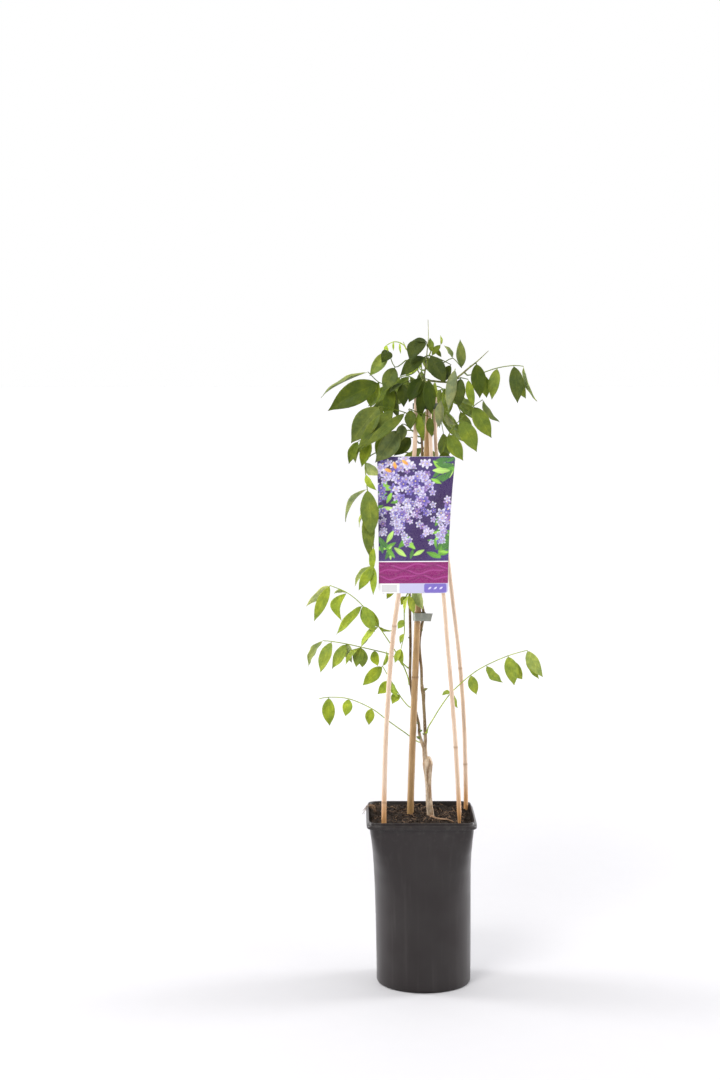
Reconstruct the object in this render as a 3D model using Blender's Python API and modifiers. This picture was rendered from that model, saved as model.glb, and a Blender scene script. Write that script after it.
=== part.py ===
"""A young wisteria trained up bamboo canes in a deep nursery pot.

Metres, +Z up. The origin is the middle of the pot's flat base, and -Y is the front,
where the plant's label hangs. The pot is square at the rim and round at the base.

Places on the plant are written in millimetres as (across, depth, height). Across and
height are read off the front view at the plane of the pot's axis, and depth is how far
the point lies behind that plane. seen() slides each point along the line of sight to
its depth, so that the plant keeps its outline from the front.
"""

import math

import bmesh
import bpy
from mathutils import Matrix, Vector

# Driving dimensions, in metres.
MM = 0.001
GAP = 0.35 * MM

POT_HEIGHT = 0.2150
POT_WALL = 1.2 * MM
POT_SIDES = 40
# How far the thin pot's rim stands to the right of its base (negative is left).
POT_LEAN = -4.4 * MM
# The body's (height, half width, squareness), where a squareness of 2 is a circle.
POT_BODY = ((0.0, 0.0555, 2.0), (0.0009, 0.0581, 2.0), (0.0034, 0.0590, 2.0), (0.070, 0.0596, 2.0),
            (0.120, 0.0602, 2.1), (0.148, 0.0608, 2.6), (0.170, 0.0617, 4.0), (0.188, 0.0629, 7.0),
            (0.2062, 0.0646, 12.0))
RIM_SQUARENESS = 12.0
COLLAR_HALF = 0.0680
COLLAR_BOTTOM = 0.2066
COLLAR_TOP = 0.2108
LIP_HALF = 0.0659
DRAIN_RADIUS = 2.0 * MM
DRAIN_RINGS = ((0.046, 12), (0.026, 6))

SOIL_TOP = 0.2060
SOIL_MOUND = 2.5 * MM
SOIL_CLEARANCE = 0.5 * MM

EYE_ACROSS = -80.0
EYE_HEIGHT = 778.5
EYE_DISTANCE = 2600.0

TUBE_SIDES_FINE = 2
TUBE_SIDES_PLAIN = 0

# Each cane: places (across, depth, height), radius at the foot and at the top, and the
# heights of its joints.
CANES = {
    "cane_main": dict(
        places=[(-18, 30, 70), (-17, 28, 206), (-15.5, 26, 270), (-13, 24, 340), (-10, 21, 420), (-7, 18, 490),
                (-2, 14, 590), (3, 11, 680), (5, 10, 739)],
        radii=(4.5, 3.6),
        joints=(120, 382, 556, 700),
    ),
    "cane_left": dict(
        places=[(-49, -40, 172), (-50, -42, 206), (-48.5, -35, 290), (-45.5, -29.5, 350), (-41.5, -25, 410),
                (-36, -20.5, 460), (-29, -16, 510), (-19, -10, 590), (-12.5, -5, 670), (-10.5, -3, 742)],
        radii=(3.1, 2.6),
        joints=(236, 452, 640),
    ),
    "cane_front_right": dict(
        places=[(43.5, -33, 160), (44.5, -34, 206), (40, -27, 290), (35.5, -22, 350), (29.5, -17, 420),
                (23.5, -12.5, 490), (14.5, -6, 580), (7.5, -1.5, 670), (6, -0.5, 736)],
        radii=(2.9, 2.1),
        joints=(302, 520),
    ),
    "cane_back_right": dict(
        places=[(48.5, 38, 172), (52.5, 43, 206), (51.2, 39, 290), (48.5, 35, 350), (43, 29.5, 415),
                (34, 22, 490), (22.5, 15, 590), (14, 10.5, 670), (12.5, 9, 733)],
        radii=(2.8, 2.2),
        joints=(268, 392, 600),
    ),
}
CANE_JOINT_SWELL = 1.12
CANE_JOINT_HALF = 2.2 * MM
CANE_STEP = 45 * MM

CLIP_HEIGHT = 0.722
CLIP_THICK = 7 * MM
CLIP_HALF = (0.0165, 0.0115)
CLIP_PLACE = (1.5, 4.0)

TAPE_HEIGHT = 0.459
TAPE_WIDTH = 10 * MM
TAPE_THICK = 0.5 * MM
TAPE_TAIL = 10.5 * MM

LABEL_BOTTOM = 0.4925
LABEL_TOP = 0.6605
LABEL_THICK = 0.5 * MM
LABEL_CORNER = 4 * MM
LABEL_MIDDLE_FOOT = -14.2 * MM
LABEL_MIDDLE_HEAD = -10.6 * MM
LABEL_HALF_FOOT = 42.8 * MM
LABEL_HALF_HEAD = 48.5 * MM
LABEL_TURN = 0.05
LABEL_BOW = 0.35
LABEL_TIE_HEIGHT = 0.6445
LABEL_TIE_WIRE = 0.7 * MM
LABEL_HOLE_RADIUS = 1.5 * MM

# The vine: places (across, depth, height) and radius in millimetres.
TRUNK = [(10, 12, 140, 4.0), (8.5, 12, 206, 5.4), (6.5, 12, 224, 5.0), (5.6, 12, 246, 4.6), (5.0, 12, 262, 5.0),
         (4.6, 12, 272, 6.0), (4.6, 12, 279, 5.6), (5.0, 12, 285, 3.2)]
SCION = [(3.2, 12, 270, 3.4), (1.6, 12, 282, 3.3), (0.9, 12, 291, 3.1), (0.5, 12, 298, 2.9)]
SHOOT_A_FOOT = [(0.5, 12, 294, 2.4), (1.6, 12.5, 303, 2.2), (1.2, 13.5, 318, 2.1), (0.4, 14.5, 335, 2.0),
                (-0.6, 15.5, 352, 2.0), (-1.0, 16, 364, 2.5), (-1.8, 16.5, 369, 2.7), (-3.0, 17, 376, 1.9)]
SHOOT_A_TWINE = [(392, 6), (405, 40), (425, 60), (445, 42), (462, 5), (476, -65), (490, -140), (512, -215), (536, -285),
                 (562, -360), (588, -435), (614, -505), (640, -550), (668, -575)]
SHOOT_A_TIP = [(-5.5, 18.5, 700, 1.5), (-6.0, 20, 722, 1.5), (-4.0, 12, 742, 1.5), (-1.0, 7, 758, 1.4), (1.0, 5, 774, 1.2), (2.5, 4, 790, 1.0), (4.0, 4, 806, 0.8),
               (3.5, 4, 828, 0.6)]
SHOOT_B = [(0.5, 12, 294, 2.4), (-2.4, 13, 302, 2.2), (-4.8, 16, 309, 2.0), (-6.2, 21, 316, 1.9), (-6.4, 28, 325, 1.8),
           (-10, 33, 340, 1.8), (-15, 33.5, 362, 1.7), (-17.6, 30.5, 385, 1.7), (-17.4, 27.5, 410, 1.7),
           (-17.4, 26, 440, 1.7), (-18.4, 24, 490, 1.6), (-18, 24, 530, 1.6), (-13, 25, 565, 1.6), (-6, 26, 600, 1.5),
           (1, 25, 640, 1.5), (6, 23.5, 680, 1.5), (6, 24, 715, 1.4), (1, 22, 745, 1.3), (-9, 16, 766, 1.2),
           (-19, 12, 784, 1.0), (-27, 10, 801, 0.7)]
SHOOT_C = [(-4, 12, 741, 1.3), (0, -2, 751, 1.3), (8, -4, 753, 1.3), (18, -1, 752, 1.2), (31, 1, 752, 1.1), (42, 0, 759, 1.1),
           (54, -1, 769, 1.0), (64, -1, 777, 0.9), (78, 0, 790, 0.6)]
SHOOT_STEP = 14 * MM

STALK_RADIUS = 0.8 * MM
STALK_KNEE = 2.5 * MM
STALK_STEP = 22 * MM
BLADE_THICK = 0.7 * MM
BLADE_OUTLINE = ((0.0, 0.12), (0.14, 0.66), (0.42, 1.0), (0.74, 0.66), (1.0, 0.05))

# Compound leaves. Each grows on a shoot at a height, and its stalk runs through the
# places. A leaflet is (number of the place it grows from, tip, width, turn of its face
# about its midrib in degrees, sideways bow of the midrib). At 0 degrees the upper face
# is seen from the front, and past 90 the pale underside is.
LEAVES = {
    "leaf_low_left": dict(
        on=("b", 306), places=[(-5, 27, 303), (-13, 37, 307), (-22, 34, 314), (-32, 26, 321), (-47, 16, 332),
                               (-66, 8, 346), (-94, 4, 358), (-119, 2, 360), (-131, 2, 358)],
        leaflets=[(5, (-69, 2, 325), 13, 10, 0), (6, (-98, -2, 336), 14, -10, 0), (7, (-118, -4, 324), 18, 5, 0)]),
    "leaf_low_right": dict(
        on=("a", 313), places=[(5, 6, 322), (11, 4, 332), (20, 3, 347), (34, 3, 366), (58, 4, 388), (77, 4, 400),
                               (104, 4, 412), (128, 4, 419)],
        leaflets=[(3, (22, -2, 363), 8, 50, 0), (3, (41, -3, 346), 9, 40, 0), (4, (65, 0, 363), 14, 10, 0),
                  (5, (97, -2, 378), 17, 42, 0), (6, (112, -6, 375), 19, 0, 0), (6, (122, 16, 381), 17, 25, 0),
                  (7, (147, -6, 385), 18, 12, 0), (7, (142, 16, 381), 13, 35, 0)]),
    "leaf_mid_left": dict(
        on=("b", 370), places=[(-20, 36, 384), (-27, 32, 402), (-35, 24, 416), (-42, 16, 427), (-57, 4, 449),
                               (-77, 0, 475), (-96, -2, 491), (-117, -2, 500)],
        leaflets=[(4, (-80, -4, 424), 14, 65, 0), (4, (-38, 10, 443), 12, 60, 0), (5, (-111, -6, 440), 17, 55, 5),
                  (5, (-62, -8, 442), 19, 0, 0), (5, (-56, 14, 447), 16, 10, 0), (6, (-103, -10, 456), 15, 5, -12),
                  (6, (-112, 14, 491), 13, 110, 0), (7, (-137, -6, 455), 15, 5, 0), (7, (-148, 12, 475), 16, 140, -5)]),
    "leaf_row_left": dict(
        on=("b", 392), places=[(-26, 38, 402), (-35, 34, 409), (-46, 28, 415), (-62, 24, 419), (-79, 22, 423),
                               (-97, 20, 427), (-115, 18, 430), (-126, 18, 431)],
        leaflets=[(3, (-58, 20, 399), 13, 10, 0), (4, (-85, 12, 398), 15, 15, 0), (4, (-77, 32, 397), 14, -10, 0),
                  (5, (-91, 32, 404), 14, 165, 0), (5, (-115, 14, 396), 16, 15, 0), (4, (-99, 6, 402), 12, 65, 0),
                  (6, (-130, 12, 391), 17, 20, 0), (7, (-146, 20, 399), 15, 52, 0), (4, (-66, 26, 450), 9, 60, 0)]),
    "leaf_under_left": dict(
        on=("b", 342), places=[(-19, 44, 348), (-26, 40, 356), (-31, 36, 363), (-41, 32, 380), (-52, 28, 399)],
        leaflets=[(2, (-40, 30, 352), 13, 20, 0), (3, (-58, 26, 364), 15, 10, 0), (3, (-33, 26, 359), 12, 50, 0),
                  (4, (-77, 22, 375), 17, 10, 0), (4, (-46, 34, 418), 10, 60, 0)]),
    "leaf_hanging_small": dict(
        on=("b", 489), places=[(-23, 15, 486), (-25, 12, 474), (-25, 11, 457), (-25, 11, 440), (-29, 11, 421)],
        leaflets=[(0, (-29, 8, 476), 10, 0, 0), (2, (-33, 8, 446), 10, 15, 0), (3, (-30, 8, 427), 8, 40, 0),
                  (4, (-37, 8, 403), 9, 30, 0), (4, (-28, 6, 399), 8, 35, 0)]),
    "leaf_cane_front": dict(
        on=("b", 512), places=[(-21, 14, 508), (-20, 8, 498), (-19, 4, 488)],
        leaflets=[(2, (-13, 2, 464), 10, 0, 0), (2, (-25, 2, 466), 8, 55, 0)]),
    "leaf_pale_back": dict(
        on=("a", 497), places=[(-14, 7, 504), (-11, 4, 499)],
        leaflets=[(1, (-2, 1, 470), 15, 168, 0)]),
    "leaf_below_label": dict(
        on=("b", 535), places=[(-26, 14, 530), (-33, 6, 515), (-35, 1, 500)],
        leaflets=[(2, (-47, -2, 483), 10, 20, 0), (1, (-46, 10, 505), 12, 40, 0)]),
    "leaf_label_side": dict(
        on=("b", 655), places=[(-14, 30, 663), (-40, 20, 667), (-62, 4, 664), (-73, -10, 653), (-73, -20, 638),
                               (-71, -23, 620), (-68, -23, 600), (-66, -23, 578), (-63, -23, 548), (-63, -23, 524)],
        leaflets=[(3, (-58, -22, 636), 16, 160, 0), (5, (-100, -20, 580), 15, 70, -4), (5, (-66, -27, 560), 25, 0, 0),
                  (4, (-60, -30, 618), 10, 20, 0), (6, (-83, -16, 573), 13, 72, 0), (6, (-68, -21, 534), 18, 4, 0),
                  (8, (-65, -25, 517), 10, 15, 0), (9, (-82, -26, 494), 14, 10, 0), (9, (-88, -14, 499), 10, 50, -4),
                  (9, (-64, -30, 488), 10, 20, 0)]),
    "leaf_big_left": dict(
        on=("b", 738), places=[(-10, 24, 744), (-24, 16, 748), (-40, 8, 748), (-56, 2, 751), (-70, -2, 764)],
        leaflets=[(3, (-119, -14, 717), 32, 0, 0), (4, (-130, -4, 736), 20, 74, 0), (3, (-68, 12, 720), 19, 10, 0),
                  (2, (-46, 2, 702), 17, 12, 0), (2, (-33, 14, 706), 15, 20, 0)]),
    "leaf_broad_left": dict(
        on=("a", 702), places=[(-12, 0, 707), (-24, -6, 714), (-38, -10, 718), (-56, -12, 722)],
        leaflets=[(3, (-91, -20, 677), 32, 0, 0), (2, (-83, -30, 670), 22, 5, 0), (1, (-76, -38, 672), 15, 15, 0)]),
    "leaf_spray_left": dict(
        on=("b", 690), places=[(-8, 32, 692), (-30, 30, 692), (-50, 24, 688), (-68, 16, 682), (-82, 12, 679)],
        leaflets=[(4, (-94, 8, 651), 13, 15, 0), (4, (-87, 20, 652), 12, 40, 0), (3, (-78, 12, 647), 16, 5, 0),
                  (3, (-86, 2, 660), 12, 60, 0), (2, (-60, 22, 661), 14, 20, 0)]),
    "leaf_grey_corner": dict(
        on=("a", 684), places=[(-16, 11, 692), (-22, 4, 698), (-28, 0, 700), (-33, -4, 693)],
        leaflets=[(2, (-31, -6, 677), 15, 5, 0), (3, (-61, -17, 653), 27, 0, 0)]),
    "leaf_dark_inner": dict(
        on=("a", 676), places=[(-12, 12, 682), (-17, 5, 684)],
        leaflets=[(1, (-38, 3, 661), 19, 10, 0)]),
    "leaf_upper_left": dict(
        on=("b", 780), places=[(-24, 8, 778), (-30, 5, 773), (-37, 2, 770), (-42, 0, 780), (-45, -2, 790)],
        leaflets=[(2, (-51, -6, 741), 21, 0, 0), (4, (-68, -4, 759), 17, 0, 0), (4, (-53, -14, 776), 16, 0, 0)]),
    "shoot_tip_left": dict(
        on=("b", 792), places=[(-26, 18, 797), (-31, 20, 800), (-39, 20, 801), (-47, 20, 797)],
        leaflets=[(1, (-30, 18, 786), 4, 10, 0), (2, (-39, 18, 790), 4, 10, 0), (3, (-50, 16, 789), 6, 30, 0),
                  (3, (-45, 22, 788), 5, 30, 0)]),
    "leaf_mid_crown": dict(
        on=("b", 752), places=[(-12, 8, 754), (-20, 4, 753), (-28, 1, 750)],
        leaflets=[(2, (-26, -3, 721), 16, 5, 0), (2, (-45, -4, 738), 11, 55, 0)]),
    "leaf_top": dict(
        on=("a", 796), places=[(2, -6, 801)],
        leaflets=[(0, (-18, -17, 776), 21, 10, -7), (0, (-17, -2, 802.5), 10, 50, 0)]),
    "leaf_top_dark": dict(
        on=("a", 776), places=[(0, -6, 783), (6, -9, 784), (18, -10, 780), (32, -8, 773)],
        leaflets=[(0, (-31, -9, 759), 18, 10, 0), (1, (25, -20, 751), 23, 0, 0), (3, (19, 4, 751), 14, 10, 0)]),
    "shoot_tip_top": dict(
        on=("a", 784), places=[(7, 8, 789), (12, 7, 795), (19, 6, 797)],
        leaflets=[(0, (6, 8, 806), 9, 15, 0), (2, (8, 2, 784), 9, 20, 0), (2, (19, 6, 809), 5, 50, 0),
                  (1, (20, 12, 782), 7, 30, 0)]),
    "leaf_top_right": dict(
        on=("a", 768), places=[(10, 12, 774), (24, 10, 776), (34, 8, 781), (45, 7, 769)],
        leaflets=[(2, (24, 8, 797), 9, 50, 0), (3, (43.5, 4, 804), 14, 10, 2)]),
    "leaf_far_right": dict(
        on=("c", 764), places=[(52, 7, 760), (70, 9, 763), (89, 7, 769), (109, 5, 772), (121, 5, 771)],
        leaflets=[(1, (76, 15, 732), 15, 5, 0), (2, (82, 2, 730), 16, 8, 0), (3, (114, 0, 726), 20, 5, 0),
                  (3, (124, 18, 730), 16, 20, 0), (4, (136, 6, 727), 15, 72, 0)]),
    "leaf_right_dark": dict(
        on=("c", 775), places=[(63, -6, 775)],
        leaflets=[(0, (68, -12, 732), 21, 0, 0)]),
    "leaf_right_pair": dict(
        on=("c", 757), places=[(44, -8, 757), (53, -14, 755)],
        leaflets=[(0, (41, -13, 720), 18, 8, 0), (1, (60, -17, 721), 12, 15, 0)]),
    "leaf_right_ladder": dict(
        on=("b", 638), places=[(11, 25, 647), (20, 17, 655), (22, 7, 666), (30, 0, 688), (43, -4, 705), (60, -4, 722),
                               (71, -2, 730)],
        leaflets=[(2, (29, 1, 645), 17, 0, 0), (3, (47, -6, 655), 20, 5, 0), (4, (64, -10, 666), 23, 0, 0),
                  (5, (82, -10, 683), 22, 5, 0), (6, (91, -4, 701), 17, 62, 0), (5, (42, 8, 730), 12, 55, 0)]),
    "leaf_grey_right": dict(
        on=("c", 754), places=[(36, -14, 759), (37, -18, 768)],
        leaflets=[(1, (28, -20, 717), 16, 165, 0)]),
    "leaf_grey_cane": dict(
        on=("c", 752), places=[(21, -14, 744), (21, -20, 730), (24, -20, 720), (26, -17, 713)],
        leaflets=[(1, (17, -24, 695), 14, 165, 0), (3, (38, -15, 698), 10, 55, 0), (3, (31, -22, 697), 9, 55, 0)]),
    "leaf_heart": dict(
        on=("a", 760), places=[(-5, -5, 757), (-1, -11, 756), (4, -14, 755), (12, -14, 752)],
        leaflets=[(0, (-20, -11, 727), 20, 5, 0), (1, (-7, -9, 704), 15, 10, 0), (2, (8, -17, 712), 18, 0, 0), (3, (14, -22, 734), 9, 35, 0)]),
    "leaf_low_crown": dict(
        on=("a", 706), places=[(-16, 10, 712), (-20, 0, 718), (-17, -9, 718), (-8, -12, 714), (6, -11, 709)],
        leaflets=[(2, (-18, -13, 693), 16, 10, 0), (4, (9, -14, 684), 11, 0, 0), (3, (-3, -11, 681), 12, 15, 0)]),
    "shoot_tip_pale": dict(
        on=("a", 766), places=[(-7, 4, 768)],
        leaflets=[(0, (-23, 4, 762), 8, 30, 0), (0, (-8, 2, 781), 6, 30, 0)]),
}

# Leaves on the hidden back of the plant: shoot, height, heading in degrees (90 is
# straight back), reach, rise at the middle, fall at the end and pairs of leaflets.
BACK_LEAVES = {
    "leaf_back_1": dict(on=("b", 704), heading=78, reach=96, rise=16, fall=26, pairs=3, leaflet=44),
    "leaf_back_2": dict(on=("b", 735), heading=128, reach=88, rise=22, fall=14, pairs=3, leaflet=40),
    "leaf_back_3": dict(on=("b", 722), heading=60, reach=84, rise=20, fall=18, pairs=3, leaflet=42),
    "leaf_back_4": dict(on=("b", 662), heading=100, reach=84, rise=10, fall=30, pairs=3, leaflet=40),
    "leaf_back_5": dict(on=("b", 612), heading=86, reach=68, rise=12, fall=26, pairs=3, leaflet=36),
    "leaf_back_6": dict(on=("b", 566), heading=106, reach=66, rise=14, fall=16, pairs=3, leaflet=34),
    "leaf_back_7": dict(on=("b", 758), heading=88, reach=62, rise=20, fall=2, pairs=2, leaflet=34),
    "leaf_back_8": dict(on=("b", 632), heading=124, reach=62, rise=12, fall=20, pairs=2, leaflet=30),
}

COLOURS = {
    "pot": ((0.055, 0.053, 0.055), 0.45),
    "soil": ((0.060, 0.038, 0.026), 0.95),
    "cane_brown": ((0.42, 0.25, 0.12), 0.55),
    "cane_pale": ((0.78, 0.56, 0.38), 0.5),
    "clip": ((0.05, 0.11, 0.05), 0.5),
    "tape": ((0.22, 0.25, 0.21), 0.4),
    "card": ((0.45, 0.28, 0.62), 0.35),
    "wire": ((0.85, 0.85, 0.82), 0.4),
    "bark": ((0.36, 0.24, 0.14), 0.8),
    "leaf": ((0.16, 0.30, 0.05), 0.5),
    "young_leaf": ((0.45, 0.60, 0.12), 0.5),
}


def clear_scene():
    for obj in list(bpy.data.objects):
        bpy.data.objects.remove(obj)


def new_collection(name):
    collection = bpy.data.collections.new(name)
    bpy.context.scene.collection.children.link(collection)
    return collection


def material(slot):
    if slot in bpy.data.materials:
        return bpy.data.materials[slot]
    colour, roughness = COLOURS[slot]
    made = bpy.data.materials.new(slot)
    made.use_nodes = True
    shader = made.node_tree.nodes["Principled BSDF"]
    shader.inputs["Base Color"].default_value = (*colour, 1)
    shader.inputs["Roughness"].default_value = roughness
    shader.inputs["Metallic"].default_value = 0.0
    return made


def seen(across, depth, height):
    """The point at this depth that shows at (across, height) from the front."""
    share = (EYE_DISTANCE + depth) / EYE_DISTANCE
    x = EYE_ACROSS + (across - EYE_ACROSS) * share
    z = EYE_HEIGHT + (height - EYE_HEIGHT) * share
    return Vector((x, depth, z)) * MM


def smooth(points, step):
    """A Catmull-Rom curve through the points, which may carry a radius as a 4th number."""
    rows = [Vector(p) for p in points]
    rows = [2 * rows[0] - rows[1]] + rows + [2 * rows[-1] - rows[-2]]
    found = [rows[1].copy()]
    for a, b, c, d in zip(rows, rows[1:], rows[2:], rows[3:]):
        pieces = max(1, round((c - b).length / step))
        for i in range(1, pieces + 1):
            t = i / pieces
            bend = (2 * a - 5 * b + 4 * c - d) * t * t + (3 * b - a - 3 * c + d) * t**3
            found.append(b + (c - a) * t / 2 + bend / 2)
    return found


def place_at(route, height):
    """(point, tangent, radius) where a route of (x, y, z, radius) rows passes a height."""
    for low, high in zip(route, route[1:]):
        if low.z <= height <= high.z:
            share = (height - low.z) / (high.z - low.z)
            row = low.lerp(high, share)
            return row.to_3d(), (high - low).to_3d().normalized(), row.w
    raise ValueError(f"no place at height {height}")


def link(name, mesh, slot, collection):
    obj = bpy.data.objects.new(name, mesh)
    collection.objects.link(obj)
    mesh.materials.clear()
    mesh.materials.append(material(slot))
    return obj


def tube(name, route, sides, slot, collection):
    """A closed tube along rows of (x, y, z, radius), as a mesh object."""
    curve = bpy.data.curves.new(name, "CURVE")
    curve.dimensions = "3D"
    curve.bevel_depth = 1.0
    curve.bevel_resolution = sides
    curve.use_fill_caps = True
    spline = curve.splines.new("POLY")
    spline.points.add(len(route) - 1)
    for point, row in zip(spline.points, route):
        point.co = (row[0], row[1], row[2], 1)
        point.radius = row[3]
    guide = bpy.data.objects.new(name + "_guide", curve)
    collection.objects.link(guide)
    bpy.context.view_layer.update()
    graph = bpy.context.evaluated_depsgraph_get()
    mesh = bpy.data.meshes.new_from_object(guide.evaluated_get(graph))
    bpy.data.objects.remove(guide)
    work = bmesh.new()
    work.from_mesh(mesh)
    bmesh.ops.remove_doubles(work, verts=work.verts, dist=0.01 * MM)
    bmesh.ops.recalc_face_normals(work, faces=work.faces)
    work.to_mesh(mesh)
    work.free()
    mesh.shade_smooth()
    return link(name, mesh, slot, collection)


def boolean(obj, other, operation, handles_self=False):
    modifier = obj.modifiers.new(operation.lower() + "_" + other.name, "BOOLEAN")
    modifier.operation = operation
    modifier.solver = "EXACT"
    modifier.use_self = handles_self
    modifier.object = other
    other.hide_render = True
    other.display_type = "WIRE"


def settle(obj):
    """Replaces an object's mesh with what its modifiers make of it."""
    bpy.context.view_layer.update()
    graph = bpy.context.evaluated_depsgraph_get()
    mesh = bpy.data.meshes.new_from_object(obj.evaluated_get(graph))
    obj.modifiers.clear()
    obj.data = mesh


def pot_body(height):
    """Half the pot's outer width and its squareness at a height, below the collar."""
    for (z1, half1, power1), (z2, half2, power2) in zip(POT_BODY, POT_BODY[1:]):
        if z1 <= height <= z2:
            share = (height - z1) / (z2 - z1)
            return half1 + (half2 - half1) * share, power1 + (power2 - power1) * share
    raise ValueError(f"no pot wall at height {height}")


def pot_ring(half, height, power):
    """One ring of the pot: a circle at power 2, near a square at high powers."""
    lean = POT_LEAN * (height / POT_HEIGHT) ** 2
    ring = []
    for i in range(POT_SIDES):
        angle = 2 * math.pi * i / POT_SIDES
        c, s = math.cos(angle), math.sin(angle)
        reach = half / (abs(c) ** power + abs(s) ** power) ** (1 / power)
        ring.append(Vector((reach * c + lean, reach * s, height)))
    return ring


def loft(work, rings, close_first=False, close_last=False):
    """Skins rings of points with quads, and caps either end with one face."""
    made = [[work.verts.new(p) for p in ring] for ring in rings]
    count = len(rings[0])
    for low, high in zip(made, made[1:]):
        for i in range(count):
            j = (i + 1) % count
            work.faces.new((low[i], low[j], high[j], high[i]))
    if close_first:
        work.faces.new(list(reversed(made[0])))
    if close_last:
        work.faces.new(made[-1])


def build_pot(parts, cutters):
    rows = list(POT_BODY)
    rows += [(z, half, RIM_SQUARENESS) for z, half in (
        (COLLAR_BOTTOM, COLLAR_HALF), (COLLAR_TOP, COLLAR_HALF), (COLLAR_TOP + 0.4 * MM, LIP_HALF), (POT_HEIGHT, LIP_HALF))]
    work = bmesh.new()
    loft(work, [pot_ring(half, z, power) for z, half, power in rows], close_first=True)
    mesh = bpy.data.meshes.new("pot")
    work.to_mesh(mesh)
    work.free()
    pot = link("pot", mesh, "pot", parts)
    wall = pot.modifiers.new("wall", "SOLIDIFY")
    wall.thickness = POT_WALL
    wall.offset = -1
    drains = bmesh.new()
    for reach, count in DRAIN_RINGS:
        for i in range(count):
            angle = 2 * math.pi * (i + 0.5) / count
            at = Matrix.Translation((reach * math.cos(angle), reach * math.sin(angle), 0))
            bmesh.ops.create_cone(drains, cap_ends=True, segments=8, radius1=DRAIN_RADIUS, radius2=DRAIN_RADIUS,
                                  depth=8 * MM, matrix=at)
    mesh = bpy.data.meshes.new("drain_cutter")
    drains.to_mesh(mesh)
    drains.free()
    boolean(pot, link("drain_cutter", mesh, "pot", cutters), "DIFFERENCE")
    return pot


def build_soil(parts, cutters, planted):
    """The soil fills the pot, with a hole round each cane and round the trunk."""
    shrink = POT_WALL + SOIL_CLEARANCE
    rings = [pot_ring(POT_BODY[0][1] - 1 * MM, POT_WALL + GAP, 2.0)]
    for z in (0.004, 0.070, 0.120, 0.148, 0.170, 0.188, SOIL_TOP):
        half, power = pot_body(z)
        rings.append(pot_ring(half - shrink, z, power))
    rings += [pot_ring(half, SOIL_TOP + rise, 2.5) for half, rise in ((0.040, 0.8 * MM), (0.020, SOIL_MOUND))]
    work = bmesh.new()
    loft(work, rings, close_first=True, close_last=True)
    mesh = bpy.data.meshes.new("soil")
    work.to_mesh(mesh)
    work.free()
    soil = link("soil", mesh, "soil", parts)
    for name, route in planted.items():
        wide = [Vector((*row.to_3d(), row.w + GAP)) for row in route if row.z < SOIL_TOP + 60 * MM]
        first = wide[0] - Vector((0, 0, GAP, 0))
        boolean(soil, tube(name + "_socket", [first] + wide[1:], TUBE_SIDES_FINE, "soil", cutters), "DIFFERENCE")
    return soil


def cane_route(name):
    """Rows of (x, y, z, radius) along a cane, with a swelling at each joint."""
    cane = CANES[name]
    foot, head = cane["radii"]
    rows = smooth([seen(*p) for p in cane["places"]], CANE_STEP)
    low, high = rows[0].z, rows[-1].z
    route = []
    for row in rows:
        radius = foot + (head - foot) * (row.z - low) / (high - low)
        route.append(Vector((*row, radius * MM)))
    for joint in cane["joints"]:
        for offset, swell in ((-CANE_JOINT_HALF, 1.0), (0.0, CANE_JOINT_SWELL), (CANE_JOINT_HALF, 1.0)):
            point, _, radius = place_at(route, joint * MM + offset)
            route.append(Vector((*point, radius * swell)))
        route.sort(key=lambda row: row.z)
    return route


def thin_out(route, least):
    """Drops rows that stand closer than least to the one before, but keeps swellings."""
    kept = [route[0]]
    for row in route[1:]:
        if (row - kept[-1]).to_3d().length >= least:
            kept.append(row)
    return kept


def build_clip(parts, cutters, canes):
    """The moulded clip that holds the tops of the canes together."""
    work = bmesh.new()
    shape = Matrix.Translation((CLIP_PLACE[0] * MM, CLIP_PLACE[1] * MM, CLIP_HEIGHT)) @ Matrix.Diagonal(
        (CLIP_HALF[0], CLIP_HALF[1], 1, 1))
    bmesh.ops.create_cone(work, cap_ends=True, segments=24, radius1=1, radius2=1, depth=CLIP_THICK, matrix=shape)
    mesh = bpy.data.meshes.new("cane_clip")
    work.to_mesh(mesh)
    work.free()
    clip = link("cane_clip", mesh, "clip", parts)
    for name, route in canes.items():
        wide = [Vector((*row.to_3d(), row.w + GAP)) for row in route if row.z > CLIP_HEIGHT - 60 * MM]
        end = wide[-1] + (wide[-1] - wide[-2]).normalized() * 10 * MM
        end.w = wide[-1].w
        boolean(clip, tube(name + "_top_socket", wide + [end], TUBE_SIDES_FINE, "clip", cutters), "DIFFERENCE")
    return clip


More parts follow.
